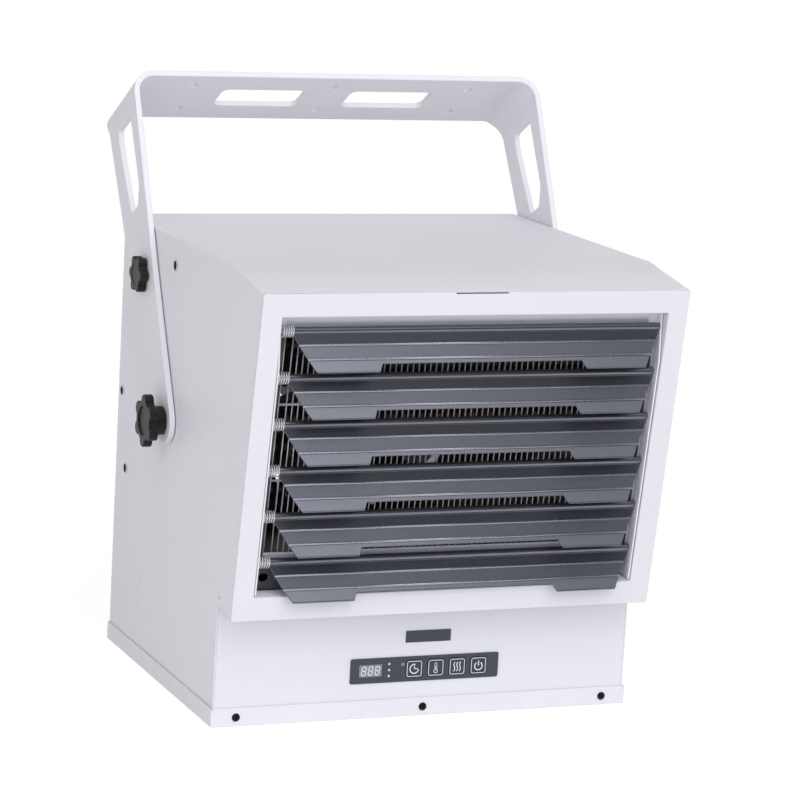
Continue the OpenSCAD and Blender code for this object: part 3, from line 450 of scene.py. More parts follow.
def powder_coated_steel():
    # Polyester powder: an even satin skin with a fine orange peel about 1.5 mm across
    material, tree, shader, place = new_surface(IOR=1.5, Roughness=0.5)
    peel = add_node(tree, "ShaderNodeTexNoise", {"Vector": place, "Scale": 1 / (1.5 * MM), "Detail": 2.0})
    cloud = add_node(tree, "ShaderNodeTexNoise", {"Vector": place, "Scale": 1 / (90 * MM), "Detail": 1.0})
    mark_surface(tree, shader, cloud.outputs["Fac"], tint=shades(colours().powder, 0.975, 1.02))
    mark_surface(tree, shader, peel.outputs["Fac"], gloss=(0.44, 0.56), relief=0.02)
    return material


def galvanised_steel():
    # Hot-dip zinc: flat crystals about 7 mm across, each with its own grey and gloss
    tint = shades(colours().zinc, 0.88, 1.08)
    return celled_surface(7, tint, (0.32, 0.46), "Green", Metallic=0.8, Roughness=0.4)


def aluminised_steel_painted_shade():
    # Hot-dip aluminium on the heat shields: brighter and more even than zinc, with a soft mottle,
    # and painted dark as shade behind the guard, fading in from 172 mm to 158 mm in front of the middle
    material, tree, shader, place = new_surface(Metallic=0.55, Roughness=0.42)
    noise = add_node(tree, "ShaderNodeTexNoise", {"Vector": place, "Scale": 1 / (5 * MM), "Detail": 2.0})
    mottle = noise.outputs["Fac"]
    dark, light = shades(colours().shield, 0.95, 1.04)
    ends = {"Factor": mottle, MIX_FIRST: dark, MIX_SECOND: light}
    clean = add_node(tree, "ShaderNodeMix", ends, data_type="RGBA").outputs[MIX_RESULT]
    axes = add_node(tree, "ShaderNodeSeparateXYZ", {"Vector": place}).outputs
    limits = {"Value": axes["Y"], "From Min": -172 * MM, "From Max": -158 * MM}
    guard_painted_shade = add_node(tree, "ShaderNodeMapRange", limits).outputs["Result"]
    # painted shade: the shields go dark behind the guard, inside the outlet
    mark_surface(tree, shader, guard_painted_shade, tint=(clean, "#3A3838"))
    mark_surface(tree, shader, mottle, gloss=(0.38, 0.46))
    return material


def bracket_steel_painted_light_and_shade():
    # Pale primer on the louver brackets, with painted light and shade: the plates are painted pale as if lit,
    # and the flanges that stand inward of the plates, below the top of the first louver, are painted dark as
    # shade
    material, tree, shader, place = new_surface(IOR=1.5, Roughness=0.55)
    corners = [vert.co for vert in NODES["louver_bracket_right"].data.vertices]
    foremost = min(p.dot(INWARD) for p in corners) + 0.5 * MM
    plate = min(abs(p.x) for p in corners if p.dot(INWARD) < foremost)
    top = max(vert.co.z for vert in NODES["louver_1"].data.vertices)
    axes = add_node(tree, "ShaderNodeSeparateXYZ", {"Vector": place}).outputs
    out = add_node(tree, "ShaderNodeMath", {0: axes["X"]}, operation="ABSOLUTE").outputs[0]
    limits = {"Value": out, "From Min": plate - 0.2 * MM, "From Max": plate - 0.6 * MM}
    inward = add_node(tree, "ShaderNodeMapRange", limits).outputs["Result"]
    limits = {"Value": axes["Z"], "From Min": top, "From Max": top - 6 * MM}
    below = add_node(tree, "ShaderNodeMapRange", limits).outputs["Result"]
    # painted shade mask: the inward flanges below the top of the first louver
    flange_painted_shade = add_node(tree, "ShaderNodeMath", {0: inward, 1: below}, operation="MULTIPLY").outputs[0]
    dust = add_node(tree, "ShaderNodeTexNoise", {"Vector": place, "Scale": 1 / (4 * MM), "Detail": 2.0})
    # dark on those flanges as painted shade, pale elsewhere as painted light
    mark_surface(tree, shader, flange_painted_shade, tint=("#F2F2F8", "#3E3E43"))
    mark_surface(tree, shader, dust.outputs["Fac"], gloss=(0.5, 0.62))
    return material


def bright_zinc_wire():
    # Drawn steel wire with bright zinc plating: fine draw marks soften its shine
    return grained_surface(2, ("#C9CAD0", "#E6E7EC"), (0.24, 0.4), detail=3.0, Metallic=0.4, Roughness=0.34)


def metallic_louver_paint():
    # Dark grey stoved paint with aluminium flake: flakes of 0.1 mm, drawn as 0.5 mm to show
    tint = shades(colours().louver, 0.9, 1.12)
    return celled_surface(0.5, tint, (0.3, 0.38), "Blue", Metallic=0.95, Roughness=0.34)


def louver_paint_painted_highlight():
    # The same paint, made much lighter over the crowns of the beads as a painted highlight
    tint = shades(colours().louver, 2.1, 2.5)
    return celled_surface(0.5, tint, (0.26, 0.34), "Blue", Metallic=0.95, Roughness=0.3)


def moulded_phenolic():
    # Compression-moulded phenolic: black and close-grained, with a dusty skin that shines less
    # than clear resin does
    tint = shades(colours().knob, 0.8, 1.25)
    skin = {"IOR": 1.55, "Roughness": 0.48, "Specular_IOR_Level": 0.32}
    return grained_surface(0.6, tint, (0.4, 0.58), relief=0.02, detail=4.0, **skin)


def zinc_plated_steel():
    # Turned steel with clear zinc plating: rings of tool marks under a cool shine
    return grained_surface(0.8, ("#B9BBC1", "#D4D5D9"), (0.22, 0.38), Metallic=1.0, Roughness=0.3)


def nickel_spring_wire():
    # Music wire with nickel plating: bright, with faint drawing lines
    return grained_surface(0.5, ("#E0E0E3", "#F6F6F8"), Metallic=0.6, Roughness=0.28)


def moulded_nylon():
    # Black nylon: a soft dull surface with a slight mould texture
    return grained_surface(0.8, ("#1B1B1D", "#2A2A2C"), relief=0.015, detail=3.0, IOR=1.53, Roughness=0.55)


def rolled_aluminium_painted_shade():
    # Mill-finish aluminium sheet, painted darker than bare aluminium as shade inside the cabinet: rolling
    # lines about 0.7 mm apart along X
    material, tree, shader, place = new_surface(Metallic=1.0, Roughness=0.36)
    drawn = add_node(tree, "ShaderNodeMapping", {"Vector": place, "Scale": (0.05, 1, 1)}).outputs["Vector"]
    lines = add_node(tree, "ShaderNodeTexNoise", {"Vector": drawn, "Scale": 1 / (0.7 * MM), "Detail": 3.0})
    # a darker grey than bare aluminium, as painted shade behind the guard
    mark_surface(tree, shader, lines.outputs["Fac"], ("#7C7E82", "#93959A"), (0.3, 0.46))
    return material


def motor_enamel():
    # Sprayed enamel on a cast and pressed motor: dark, dull, slightly uneven
    return grained_surface(4, ("#2E3035", "#3D3F45"), relief=0.04, detail=3.0, IOR=1.5, Roughness=0.62)


def heat_tinted_sheath():
    # Stainless sheath that heat has browned: straw to brown bands about 40 mm long
    return grained_surface(40, ("#4A3D38", "#7A6E66"), (0.38, 0.55), detail=4.0, Metallic=1.0, Roughness=0.45)


def glazed_ceramic():
    # Steatite insulators: cream, glazed, with faint specks 1 mm apart
    return grained_surface(1, ("#D9D3C2", "#EDE9DC"), IOR=1.6, Roughness=0.2)


def moulded_polyamide():
    # Natural polyamide of the terminal block: warm white, with faint flow marks 6 mm across
    return grained_surface(6, ("#DDD8C7", "#EAE6D8"), IOR=1.53, Roughness=0.45)


def relay_polycarbonate():
    # Dark blue polycarbonate relay cases with a fine spark texture
    return grained_surface(0.5, ("#1B2A40", "#26364D"), relief=0.01, IOR=1.58, Roughness=0.35)


def lacquered_laminations():
    # Stacked transformer sheets 0.5 mm thick under brown lacquer, drawn as 1 mm lines. The pattern's
    # lines are 0.314 m apart at a scale of 1.
    material, tree, shader, place = new_surface(IOR=1.5, Roughness=0.4)
    sheets = {"Vector": place, "Scale": 0.314 / (1 * MM)}
    lines = add_node(tree, "ShaderNodeTexWave", sheets, bands_direction="Y").outputs["Fac"]
    mark_surface(tree, shader, lines, ("#4A3420", "#6D5133"), relief=0.05)
    return material


def green_solder_mask():
    # Glass-epoxy board under green solder mask: the weave shows faintly every 1 mm
    material, tree, shader, place = new_surface(IOR=1.5, Roughness=0.3)
    weave = add_node(tree, "ShaderNodeTexChecker", {"Vector": place, "Scale": 1 / (1 * MM)})
    mark_surface(tree, shader, weave.outputs["Fac"], ("#1E4A2C", "#275735"))
    return material


def smoked_acrylic():
    # Display window: a grey lens with a fine moulded haze
    return grained_surface(3, shades(colours().display, 0.92, 1.06), IOR=1.49, Roughness=0.18)


def diffused_lamp():
    # Diffused epoxy lamp: milky, with a soft gloss
    return grained_surface(1, ("#B9BCC0", "#D6D8DA"), detail=1.0, IOR=1.54, Roughness=0.25)


def polyester_overlay():
    # Back-printed polyester film: charcoal under a fine satin emboss of 0.4 mm
    return grained_surface(0.4, shades(colours().overlay, 0.93, 1.07), relief=0.01, IOR=1.57, Roughness=0.4)


def polyester_key():
    # The same film over the keys, printed darker and a little glossier
    return grained_surface(0.4, shades(colours().key, 0.92, 1.08), IOR=1.57, Roughness=0.32)


def screen_ink():
    # Screen-printed ink: an even matte layer with slightly uneven cover
    return grained_surface(0.6, shades(colours().print_ink, 0.9, 1.0), IOR=1.5, Roughness=0.5)


def black_oxide_steel():
    # Black oxide on screw heads: near black with a low oily shine
    return grained_surface(0.7, ("#161618", "#27272A"), detail=3.0, Metallic=0.7, Roughness=0.38)


# The finish of each of the record's material slots
FINISHES = {
    "powder_coat": powder_coated_steel,
    "galvanised_sheet": galvanised_steel,
    "zinc_wire": bright_zinc_wire,
    "louver_paint": metallic_louver_paint,
    "plated_steel": zinc_plated_steel,
    "spring_steel": nickel_spring_wire,
    "knob_plastic": moulded_phenolic,
    "black_nylon": moulded_nylon,
    "fan_aluminium": rolled_aluminium_painted_shade,
    "motor_paint": motor_enamel,
    "element_sheath": heat_tinted_sheath,
    "terminal_ceramic": glazed_ceramic,
    "block_plastic": moulded_polyamide,
    "relay_plastic": relay_polycarbonate,
    "transformer_lacquer": lacquered_laminations,
    "board_laminate": green_solder_mask,
    "display_lens": smoked_acrylic,
    "led_lens": diffused_lamp,
    "overlay_film": polyester_overlay,
    "key_plastic": polyester_key,
    "black_screw": black_oxide_steel,
}

# Nodes whose finish isn't their slot's
NODE_FINISHES = {
    "louver_bracket_left": bracket_steel_painted_light_and_shade,
    "louver_bracket_right": bracket_steel_painted_light_and_shade,
    "upper_heat_shield": aluminised_steel_painted_shade,
    "lower_heat_shield": aluminised_steel_painted_shade,
}


def finish(node, maker=None):
    """A node's material, or that of a maker. It is named for its maker and made once."""
    maker = maker or NODE_FINISHES.get(node) or FINISHES[SLOT_OF[node]]
    material = bpy.data.materials.get(maker.__name__)
    if material is None:
        material = maker()
        material.name = maker.__name__
    return material


# ---------------- operators


class HEATER_OT_casing(bpy.types.Operator):
    """Folds the painted sheets of the cabinet"""

    bl_idname = "heater.casing"
    bl_label = "Casing"

    def execute(self, context):
        for node in ("cabinet_wrap", "front_bezel", "lower_front_panel", "base_pan", "rear_panel"):
            folded_sheet(node, sizes().fold_radius)
        softened_copy("knockout_disc", sizes().cut_radius)
        self.spot_welds()
        return {"FINISHED"}

    def spot_welds(self):
        """Four shallow dimples low on the left side, where an inner bracket is welded."""
        side_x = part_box("cabinet_wrap")[0].x
        bm = bmesh.new()
        profile = [(0, 0.01), (1.6, 0.02), (2.4, 0.09), (3.2, 0.07), (3.8, -0.05)]
        for y, z in ((-107, 79), (-103, 47.5), (-79, 39), (-108, 29.5)):
            place = Matrix.Translation((side_x, y * MM, z * MM)) @ Matrix.Rotation(-math.pi / 2, 4, "Y")
            add_lathe(bm, [(r * MM, h * MM) for r, h in profile], place)
        new_piece("spot_weld_dimples", bm, "cabinet_wrap")


class HEATER_OT_bracket(bpy.types.Operator):
    """Bends the hanging bracket"""

    bl_idname = "heater.bracket"
    bl_label = "Hanging bracket"

    def execute(self, context):
        softened_copy("hanging_bracket", 0.7 * MM)
        return {"FINISHED"}


class HEATER_OT_outlet_frame(bpy.types.Operator):
    """Sets the louver brackets and the heat shields that frame the outlet"""

    bl_idname = "heater.outlet_frame"
    bl_label = "Outlet frame"

    def execute(self, context):
        for node in ("louver_bracket_left", "louver_bracket_right", "upper_heat_shield"):
            folded_sheet(node, 0.9 * MM)
        softened_copy("lower_heat_shield", 0.4 * MM, sizes().cut_radius)
        return {"FINISHED"}


class HEATER_OT_outlet_guard(bpy.types.Operator):
    """Strings the upright wires behind the louvers"""

    bl_idname = "heater.outlet_guard"
    bl_label = "Outlet guard"

    def execute(self, context):
        corners = [vert.co for vert in NODES["outlet_guard"].data.vertices]
        left, right = min(p.x for p in corners), max(p.x for p in corners)
        depths = sorted(p.dot(INWARD) for p in corners)
        drops = sorted(p.dot(DOWN) for p in corners)
        radius, rail_radius = sizes().wire_radius, 1.1 * MM
        front = depths[0] + radius
        top, bottom = drops[0] + radius, drops[-1] - radius
        bm = bmesh.new()
        for x in self.wire_places(corners, left, right):
            ends = [Vector((x, 0, 0)) + INWARD * front + DOWN * drop for drop in (top, bottom)]
            add_tube(bm, ends, radius, sides=8)
        thirds = [top + (bottom - top) * share for share in (1 / 3, 2 / 3)]
        for drop in (top + rail_radius, bottom - rail_radius, *thirds):
            middle = INWARD * (front + radius + rail_radius * 0.8) + DOWN * drop
            ends = [middle + Vector((x, 0, 0)) for x in (left + rail_radius, right - rail_radius)]
            add_tube(bm, ends, rail_radius, sides=8)
        wires = new_piece("outlet_guard_wires", bm, "outlet_guard")
        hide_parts("outlet_guard")
        return {"FINISHED"}

    def wire_places(self, corners, left, right):
        """The X of each upright wire: the strips between the openings of the CAD guard."""
        inset, slack = 0.8 * MM, 0.1 * MM
        front = min(p.dot(INWARD) for p in corners) + MM
        walls = sorted({round(p.x, 5) for p in corners if p.dot(INWARD) < front})
        walls = [wall for wall in walls if left + slack < wall < right - slack]
        inner = [(a + b) / 2 for a, b in zip(walls[1::2], walls[2::2])]
        pitch = inner[1] - inner[0]
        while inner[0] - pitch > left + pitch / 2:
            inner = [inner[0] - pitch, *inner, inner[-1] + pitch]
        return [left + inset, *inner, right - inset]


class HEATER_OT_louvers(bpy.types.Operator):
    """Rolls the edges and beads of the louvers, and finishes their pins"""

    bl_idname = "heater.louvers"
    bl_label = "Louvers"

    def execute(self, context):
        for node in LOUVERS:
            softened_copy(node, 0.4 * MM)
            self.roll_beads(node)
        softened_copy("louver_pins", 0.3 * MM)
        return {"FINISHED"}

    def roll_beads(self, node):
        """Puts a round crown on the two long beads of a blade, which are square in the CAD node."""
        crown, sunk_share = sizes().bead_radius, 0.55
        bead_width, shortest, slack = 1.6 * MM, 200 * MM, 0.05 * MM
        blade = clean_mesh(node)
        bm = bmesh.new()
        for face in blade.faces:
            places = [vert.co.x for vert in face.verts]
            length = max(places) - min(places)
            if length < shortest or abs(face.calc_area() / length - bead_width) > slack:
                continue
            middle = face.calc_center_bounds() - face.normal * crown * sunk_share
            ends = [Vector((x, middle.y, middle.z)) for x in (min(places), max(places))]
            add_tube(bm, ends, crown, sides=16)
        blade.free()
        # the bead crowns carry a painted highlight
        new_piece(f"{node}_beads", bm, node, louver_paint_painted_highlight)


class HEATER_OT_louver_springs(bpy.types.Operator):
    """Winds the springs round the left pins"""

    bl_idname = "heater.louver_springs"
    bl_label = "Louver springs"

    def execute(self, context):
        wire, mean = 0.5 * MM, 4.8 * MM
        turns, steps, closing = 5, 20, 0.06
        low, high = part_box("louver_springs")
        bm = bmesh.new()
        for pivot in LOUVER_PIVOTS:
            start, end = low.x + wire, high.x - wire
            points = []
            for k in range(turns * steps + 1):
                share = k / (turns * steps)
                # the end coils close up, as on a ground spring
                share -= closing * math.sin(2 * math.pi * share) / (2 * math.pi)
                along = start + (end - start) * share
                turn = 2 * math.pi * k / steps
                across, up = mean * math.sin(turn), mean * math.cos(turn)
                points.append(Vector((along, pivot.y + across, pivot.z + up)))
            add_tube(bm, points, wire, sides=10)
        springs = new_piece("louver_springs_wound", bm, "louver_springs")
        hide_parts("louver_springs")
        return {"FINISHED"}


class HEATER_OT_knobs(bpy.types.Operator):
    """Moulds the star knobs and finishes their studs, washers and inserts"""

    bl_idname = "heater.knobs"
    bl_label = "Knobs and inserts"

    def execute(self, context):
        for side in ("left", "right"):
            for kind, share in (("pivot", 1), ("lock", 0.55)):
                softened_copy(f"{kind}_knob_{side}", sizes().moulded_radius * share, segments=4)
                keep_nodes(f"{kind}_stud_{side}")
        softened_copy("threaded_inserts", 0.2 * MM)
        keep_nodes("spacer_washers")
        return {"FINISHED"}


class HEATER_OT_controls(bpy.types.Operator):
    """Lays the control film, the display, the lamps, the keys and the blank badge"""

    bl_idname = "heater.controls"
    bl_label = "Controls"

    def execute(self, context):
        for node in ("control_overlay", "badge_plate", "display_module", *KEYS):
            softened_copy(node, 0.15 * MM, segments=2)
        keep_nodes("indicator_leds", "infrared_window", "control_board", "board_spacers", "key_switches")
        return {"FINISHED"}


class HEATER_OT_symbols(bpy.types.Operator):
    """Prints plain symbols on the keys and three figures on the display"""

    bl_idname = "heater.symbols"
    bl_label = "Printed symbols"

    def execute(self, context):
        for node, draw in zip(KEYS, (self.clock, self.thermometer, self.heat_waves, self.power)):
            low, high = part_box(node)
            x, z = (low.x + high.x) / 2, (low.z + high.z) / 2
            bm = bmesh.new()
            outline = self.rounded_square(x, z, 6.6 * MM, 1.6 * MM)
            add_ribbon(bm, outline, sizes().line_width, low.y, closed=True)
            for points, width in draw(x, z):
                add_ribbon(bm, points, width, low.y)
            new_piece(f"{node}_symbol", bm, node, screen_ink)
        self.figures()
        return {"FINISHED"}

    def rounded_square(self, x, z, half, radius):
        inner = half - radius
        points = []
        for start, sx, sz in ((0, 1, 1), (90, -1, 1), (180, -1, -1), (270, 1, -1)):
            points += arc(x + sx * inner, z + sz * inner, radius, start, start + 90, steps=6)
        return points

    def clock(self, x, z):
        ring = arc(x, z, 4.0 * MM, 80, 350, steps=28)
        hands = [(x + 3.4 * MM, z), (x, z), (x, z + 2.6 * MM)]
        return [(ring, 0.95 * MM), (hands[:2], 0.8 * MM), (hands[1:], 0.8 * MM)]

    def thermometer(self, x, z):
        bulb, neck, top = z - 2.9 * MM, z - 1.5 * MM, z + 3.4 * MM
        stem, glass = 0.95 * MM, 0.45 * MM
        left = [(x - stem, neck), (x - stem, top)]
        right = [(x + stem, top), (x + stem, neck)]
        cap = arc(x, top, stem, 180, 0, steps=10)
        ball = arc(x, bulb, 1.7 * MM, 125, 415, steps=20)
        column = [(x, bulb), (x, z + 1.4 * MM)]
        return [(left, glass), (right, glass), (cap, glass), (ball, 0.5 * MM), (column, 0.6 * MM)]

    def heat_waves(self, x, z):
        steps = 20
        strokes = []
        for shift in (-2.6, 0, 2.6):
            points = []
            for k in range(steps + 1):
                share = k / steps
                lean = 1.1 * (share - 0.5) + 0.75 * math.sin(2 * math.pi * share)
                points.append((x + (shift + lean) * MM, z + (share - 0.5) * 8.2 * MM))
            strokes.append((points, 0.8 * MM))
        return strokes

    def power(self, x, z):
        ring = arc(x, z - 0.5 * MM, 3.5 * MM, 125, 415, steps=28)
        bar = [(x, z - 0.3 * MM), (x, z + 4.2 * MM)]
        return [(ring, 0.95 * MM), (bar, 0.95 * MM)]

    def figures(self):
        """Three figures of seven segments each, all lit."""
        low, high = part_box("display_module")
        middle_z = (low.z + high.z) / 2
        bm = bmesh.new()
        half_w, half_h, gap, lean = 1.75 * MM, 3.6 * MM, 0.35 * MM, 0.14
        pitch, stroke = 6.2 * MM, 0.85 * MM
        for k in (-1, 0, 1):
            middle_x = (low.x + high.x) / 2 + k * pitch
            bars = [((-half_w, level), (half_w, level)) for level in (-half_h, 0, half_h)]
            for side in (-half_w, half_w):
                bars += [((side, -half_h), (side, 0)), ((side, 0), (side, half_h))]
            for first, second in bars:
                along = (Vector(second) - Vector(first)).normalized() * gap
                ends = [Vector(first) + along, Vector(second) - along]
                points = [(middle_x + p.x + p.y * lean, middle_z + p.y) for p in ends]
                add_ribbon(bm, points, stroke, low.y)
        new_piece("display_figures", bm, "display_module", screen_ink)


class HEATER_OT_screws(bpy.types.Operator):
    """Turns the pan-head screws with their cross recesses"""

    bl_idname = "heater.screws"
    bl_label = "Screws"

    def execute(self, context):
        self.replace_screws("front_screws", -1)
        self.replace_screws("body_screws", 1)
        return {"FINISHED"}

    def replace_screws(self, node, facing):
        """Puts a screw in the place of each solid, with its head towards facing * Y."""
        bm = bmesh.new()
        for low, high in islands(node):
            middle = (low + high) / 2
            tip_y = high.y if facing < 0 else low.y
            turn = Matrix.Rotation(math.pi / 2 * -facing, 4, "X")
            place = Matrix.Translation((middle.x, tip_y, middle.z)) @ turn
            self.add_screw(bm, place, (high.x - low.x) / 2, high.y - low.y)
        piece = new_piece(f"{node}_turned", bm, node)
        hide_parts(node)

    def add_screw(self, bm, place, head, length):
        """Adds one screw along its own +Z, with a cross sunk into its head."""
        shank, head_height, dome_steps = 1.5 * MM, 1.6 * MM, 6
        seat, flat = length - head_height, length - 0.02 * MM
        cross, depth = head * 0.55, 0.9 * MM
        reach = cross * 0.75
        profile = [(0, 0), (shank * 0.6, 0), (shank, shank), (shank, seat), (head, seat)]
        for k in range(1, dome_steps):
            turn = math.radians(90 * k / dome_steps)
            profile.append((head * math.cos(turn) ** 0.5, seat + head_height * math.sin(turn)))
        add_lathe(bm, [*profile, (cross * 1.05, flat), (reach, flat)], place)
        self.add_recess(bm, place, flat, reach, depth)

    def add_recess(self, bm, place, top, reach, depth):
        """Closes the head's middle with a cross-shaped pit, which narrows towards its foot."""
        arm, lip, foot, tip = reach * 0.3, 0.97, 0.7, depth * 1.2
        steps = circle(TURNED_SIDES)
        cross = []
        for x, y in steps:
            near, far = sorted((abs(x), abs(y)))
            stretch = reach
            if near * reach / far > arm:
                stretch = min(reach / far, max(arm / near, arm * 1.4), reach)
            cross.append((stretch * x, stretch * y))
        rim = [bm.verts.new(place @ Vector((reach * x, reach * y, top))) for x, y in steps]
        edge = [bm.verts.new(place @ Vector((x * lip, y * lip, top))) for x, y in cross]
        pit = [bm.verts.new(place @ Vector((x * foot, y * foot, top - depth))) for x, y in cross]
        centre = bm.verts.new(place @ Vector((0, 0, top - tip)))
        for k in range(TURNED_SIDES):
            n = (k + 1) % TURNED_SIDES
            bm.faces.new((rim[k], rim[n], edge[n], edge[k]))
            bm.faces.new((edge[k], edge[n], pit[n], pit[k]))
            bm.faces.new((pit[k], pit[n], centre))


class HEATER_OT_fan(bpy.types.Operator):
    """Finishes the fan, its motor and the guard behind it"""

    bl_idname = "heater.fan"
    bl_label = "Fan and rear guard"

    def execute(self, context):
        softened_copy("fan_blade", 0.4 * MM, 0.3 * MM)
        softened_copy("fan_motor", 1.5 * MM, 0.5 * MM, tight=True)
        softened_copy("motor_mount", 0.4 * MM, 0.3 * MM, tight=True)
        keep_nodes("motor_shaft", "fan_shroud", "rear_fan_guard")
        return {"FINISHED"}


class HEATER_OT_inside(bpy.types.Operator):
    """Finishes the heating tubes and the electrics inside"""

    bl_idname = "heater.inside"
    bl_label = "Heating and electrics"

    def execute(self, context):
        keep_nodes("heating_elements", "element_end_plates", "element_terminals", "thermal_cutout")
        for node in ("terminal_block", "power_relays", "transformer"):
            softened_copy(node, 0.6 * MM, 0.3 * MM, tight=True)
        return {"FINISHED"}


class HEATER_OT_stage(bpy.types.Operator):
    """Sets the camera, the lamps and the pale floor"""

    bl_idname = "heater.stage"
    bl_label = "Stage"

    def execute(self, context):
        self.camera(context)
        self.world(context)
        self.floor()
        self.lamp("high_softbox", (0.0, -1.5, 2.2), 1.8, 13.5)
        self.lamp("left_softbox", (-1.3, -0.9, 0.7), 0.8, 2.1)
        context.scene.view_settings.view_transform = "Standard"
        return {"FINISHED"}

    def camera(self, context):
        """The photograph's view: solved on the cabinet's corners for a frame of 800 by 800."""
        turn, lift, roll = -0.3953, 0.1871, 0.0556
        focal_px, frame_px = 3345.5, 800
        distance, aside, raised = 2.97369, 0.028424, 0.05434
        back = Vector((math.sin(turn) * math.cos(lift), -math.cos(turn) * math.cos(lift), math.sin(lift)))
        level = (-back).cross(Vector((0, 0, 1))).normalized()
        upright = level.cross(-back)
        right = math.cos(roll) * level + math.sin(roll) * upright
        up = -math.sin(roll) * level + math.cos(roll) * upright
        target = Vector((0, 0.007, 0.19))
        place = target + back * distance + right * aside + up * raised
        data = bpy.data.cameras.new("photograph_view")
        data.sensor_width = 36
        data.lens = focal_px / frame_px * data.sensor_width
        data.clip_start, data.clip_end = 0.05, 50
        camera = bpy.data.objects.new("photograph_view", data)
        axes = Matrix((right, up, back)).transposed().to_4x4()
        camera.matrix_world = Matrix.Translation(place) @ axes
        context.scene.collection.objects.link(camera)
        context.scene.camera = camera

    def shown_rays(self, tree):
        """1 for the camera's rays, and 1 for all that show the stage, also in gloss or through glass."""
        rays = add_node(tree, "ShaderNodeLightPath").outputs
        seen = shown = rays["Is Camera Ray"]
        for other in (rays["Is Glossy Ray"], rays["Is Transmission Ray"]):
            shown = add_node(tree, "ShaderNodeMath", {0: shown, 1: other}, operation="MAXIMUM").outputs[0]
        return seen, shown

    def fades(self, tree, coordinates, *fades):
        """Smooth steps, each by its axis, its start and end there, and its values at the two."""
        place = add_node(tree, "ShaderNodeTexCoord").outputs[coordinates]
        axes = add_node(tree, "ShaderNodeSeparateXYZ", {"Vector": place}).outputs
        steps = []
        for axis, start, end, first, last in fades:
            ends = {"From Min": start, "From Max": end, "To Min": first, "To Max": last}
            step = add_node(
                tree, "ShaderNodeMapRange", {"Value": axes[axis], **ends}, interpolation_type="SMOOTHSTEP"
            )
            steps.append(step.outputs["Result"])
        return steps

    def world(self, context):
        """Soft light, most of it from the front, and a white backdrop behind and round the heater.

        The camera sees the backdrop white all over. In gloss and through glass it is white behind
        the heater and straight above, half as bright between, and dark low in front, where the
        studio ends.
        """
        world = bpy.data.worlds.new("white_studio")
        world.use_nodes = True
        context.scene.world = world
        tree = world.node_tree
        tree.nodes.clear()
        soft_light, behind, low_down, overhead, zenith = self.fades(
            tree, "Generated",
            ("Y", -1, 0.1, 1.5, 0.36),
            ("Y", -0.4, 0.2, 0.02, 1),
            ("Z", 0.45, 0.75, 1, 0.02),
            ("Z", 0.42, 0.66, 0, 0.47),
            ("Z", 0.76, 0.9, 0, 1.1),
        )
        seen, shown = self.shown_rays(tree)
        bright = add_node(tree, "ShaderNodeMath", {0: behind, 1: low_down}, operation="MULTIPLY").outputs[0]
        for other in (overhead, zenith, seen):
            bright = add_node(tree, "ShaderNodeMath", {0: bright, 1: other}, operation="MAXIMUM").outputs[0]
        soft = add_node(tree, "ShaderNodeBackground", {"Color": srgb("#FAFBFF"), "Strength": soft_light})
        white = add_node(tree, "ShaderNodeBackground", {"Color": srgb("#FFFFFF"), "Strength": bright})
        mixed = add_node(tree, "ShaderNodeMixShader", {0: shown, 1: soft.outputs[0], 2: white.outputs[0]})
        add_node(tree, "ShaderNodeOutputWorld", {"Surface": mixed.outputs[0]})

    def floor(self):
        """A wide white floor that keeps a little of the object's shadow.

        In gloss it fades towards the front, where the studio ends. Its white is a little over 1,
        to make up for the matte share that carries the shadow.
        """
        white_strength, white_share, radius = 1.085, 0.85, 12
        material = bpy.data.materials.new("white_studio_floor")
        material.use_nodes = True
        tree = material.node_tree
        tree.nodes.clear()
        speck = add_node(tree, "ShaderNodeTexNoise", {"Scale": 1 / (2.5 * MM)}).outputs["Fac"]
        ends = {"Factor": speck, MIX_FIRST: srgb("#F3F3F4"), MIX_SECOND: srgb("#F7F7F8")}
        tone = add_node(tree, "ShaderNodeMix", ends, data_type="RGBA").outputs[MIX_RESULT]
        matte = add_node(tree, "ShaderNodeBsdfDiffuse", {"Color": tone})
        (fading,) = self.fades(tree, "Object", ("Y", -2.3, -1.05, 0.05, 1))
        seen, shown = self.shown_rays(tree)
        bright = add_node(tree, "ShaderNodeMath", {0: fading, 1: seen}, operation="MAXIMUM").outputs[0]
        times = {0: bright, 1: white_strength}
        strength = add_node(tree, "ShaderNodeMath", times, operation="MULTIPLY").outputs[0]
        share = add_node(tree, "ShaderNodeMath", {0: shown, 1: white_share}, operation="MULTIPLY").outputs[0]
        white = add_node(tree, "ShaderNodeEmission", {"Color": srgb("#FFFFFF"), "Strength": strength})
        mixed = add_node(tree, "ShaderNodeMixShader", {0: share, 1: matte.outputs[0], 2: white.outputs[0]})
        add_node(tree, "ShaderNodeOutputMaterial", {"Surface": mixed.outputs[0]})
        bm = bmesh.new()
        bmesh.ops.create_circle(bm, cap_ends=True, radius=radius, segments=64)
        floor = new_object("pale_floor", bm, material)
        floor.location.z = CAD_BOX[0].z

    def lamp(self, name, place, size, watts):
        """A square soft lamp, so many metres wide, that points at the heater's middle."""
        data = bpy.data.lights.new(name, "AREA")
        data.energy, data.size, data.color = watts, size, (1.0, 0.99, 0.98)
        lamp = bpy.data.objects.new(name, data)
        lamp.location = place
        middle = Vector((0, 0, 0.22))
        lamp.rotation_euler = (middle - lamp.location).to_track_quat("-Z", "Y").to_euler()
        bpy.context.scene.collection.objects.link(lamp)


PIECE_OPERATORS = (
    HEATER_OT_casing,
    HEATER_OT_bracket,
    HEATER_OT_outlet_frame,
    HEATER_OT_outlet_guard,
    HEATER_OT_louvers,
    HEATER_OT_louver_springs,
    HEATER_OT_knobs,
    HEATER_OT_controls,
    HEATER_OT_symbols,
    HEATER_OT_screws,
    HEATER_OT_fan,
    HEATER_OT_inside,
    HEATER_OT_stage,
)


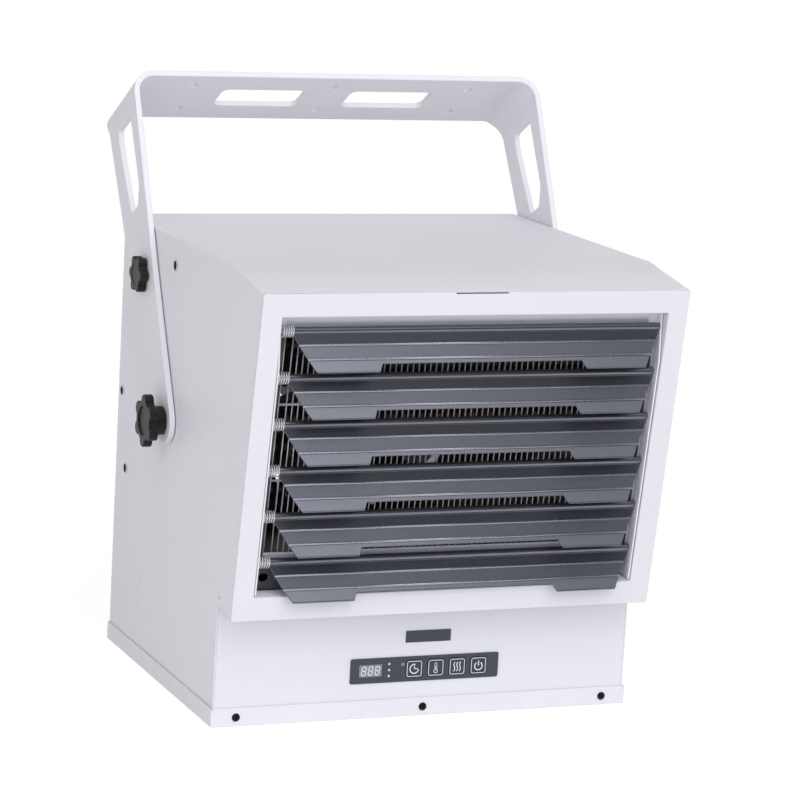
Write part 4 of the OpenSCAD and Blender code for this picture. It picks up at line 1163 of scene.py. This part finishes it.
class HEATER_PT_panel(bpy.types.Panel):
    """Lists the heater's pieces and settings"""

    bl_idname = "HEATER_PT_panel"
    bl_label = "Ceiling Fan Heater"
    bl_space_type = "VIEW_3D"
    bl_region_type = "UI"
    bl_category = "Heater"

    def draw(self, context):
        for settings in (context.scene.heater_colours, context.scene.heater_sizes):
            column = self.layout.column()
            for name in settings.__annotations__:
                column.prop(settings, name)
        for operator in PIECE_OPERATORS:
            self.layout.operator(operator.bl_idname)


CLASSES = (HEATER_PG_colours, HEATER_PG_sizes, *PIECE_OPERATORS, HEATER_PT_panel)


def register():
    for cls in CLASSES:
        bpy.utils.register_class(cls)
    bpy.types.Scene.heater_colours = bpy.props.PointerProperty(type=HEATER_PG_colours)
    bpy.types.Scene.heater_sizes = bpy.props.PointerProperty(type=HEATER_PG_sizes)


def unregister():
    del bpy.types.Scene.heater_sizes
    del bpy.types.Scene.heater_colours
    for cls in reversed(CLASSES):
        bpy.utils.unregister_class(cls)


def main():
    register()
    for operator in PIECE_OPERATORS:
        group, name = operator.bl_idname.split(".")
        getattr(getattr(bpy.ops, group), name)()


if __name__ == "__main__":
    main()
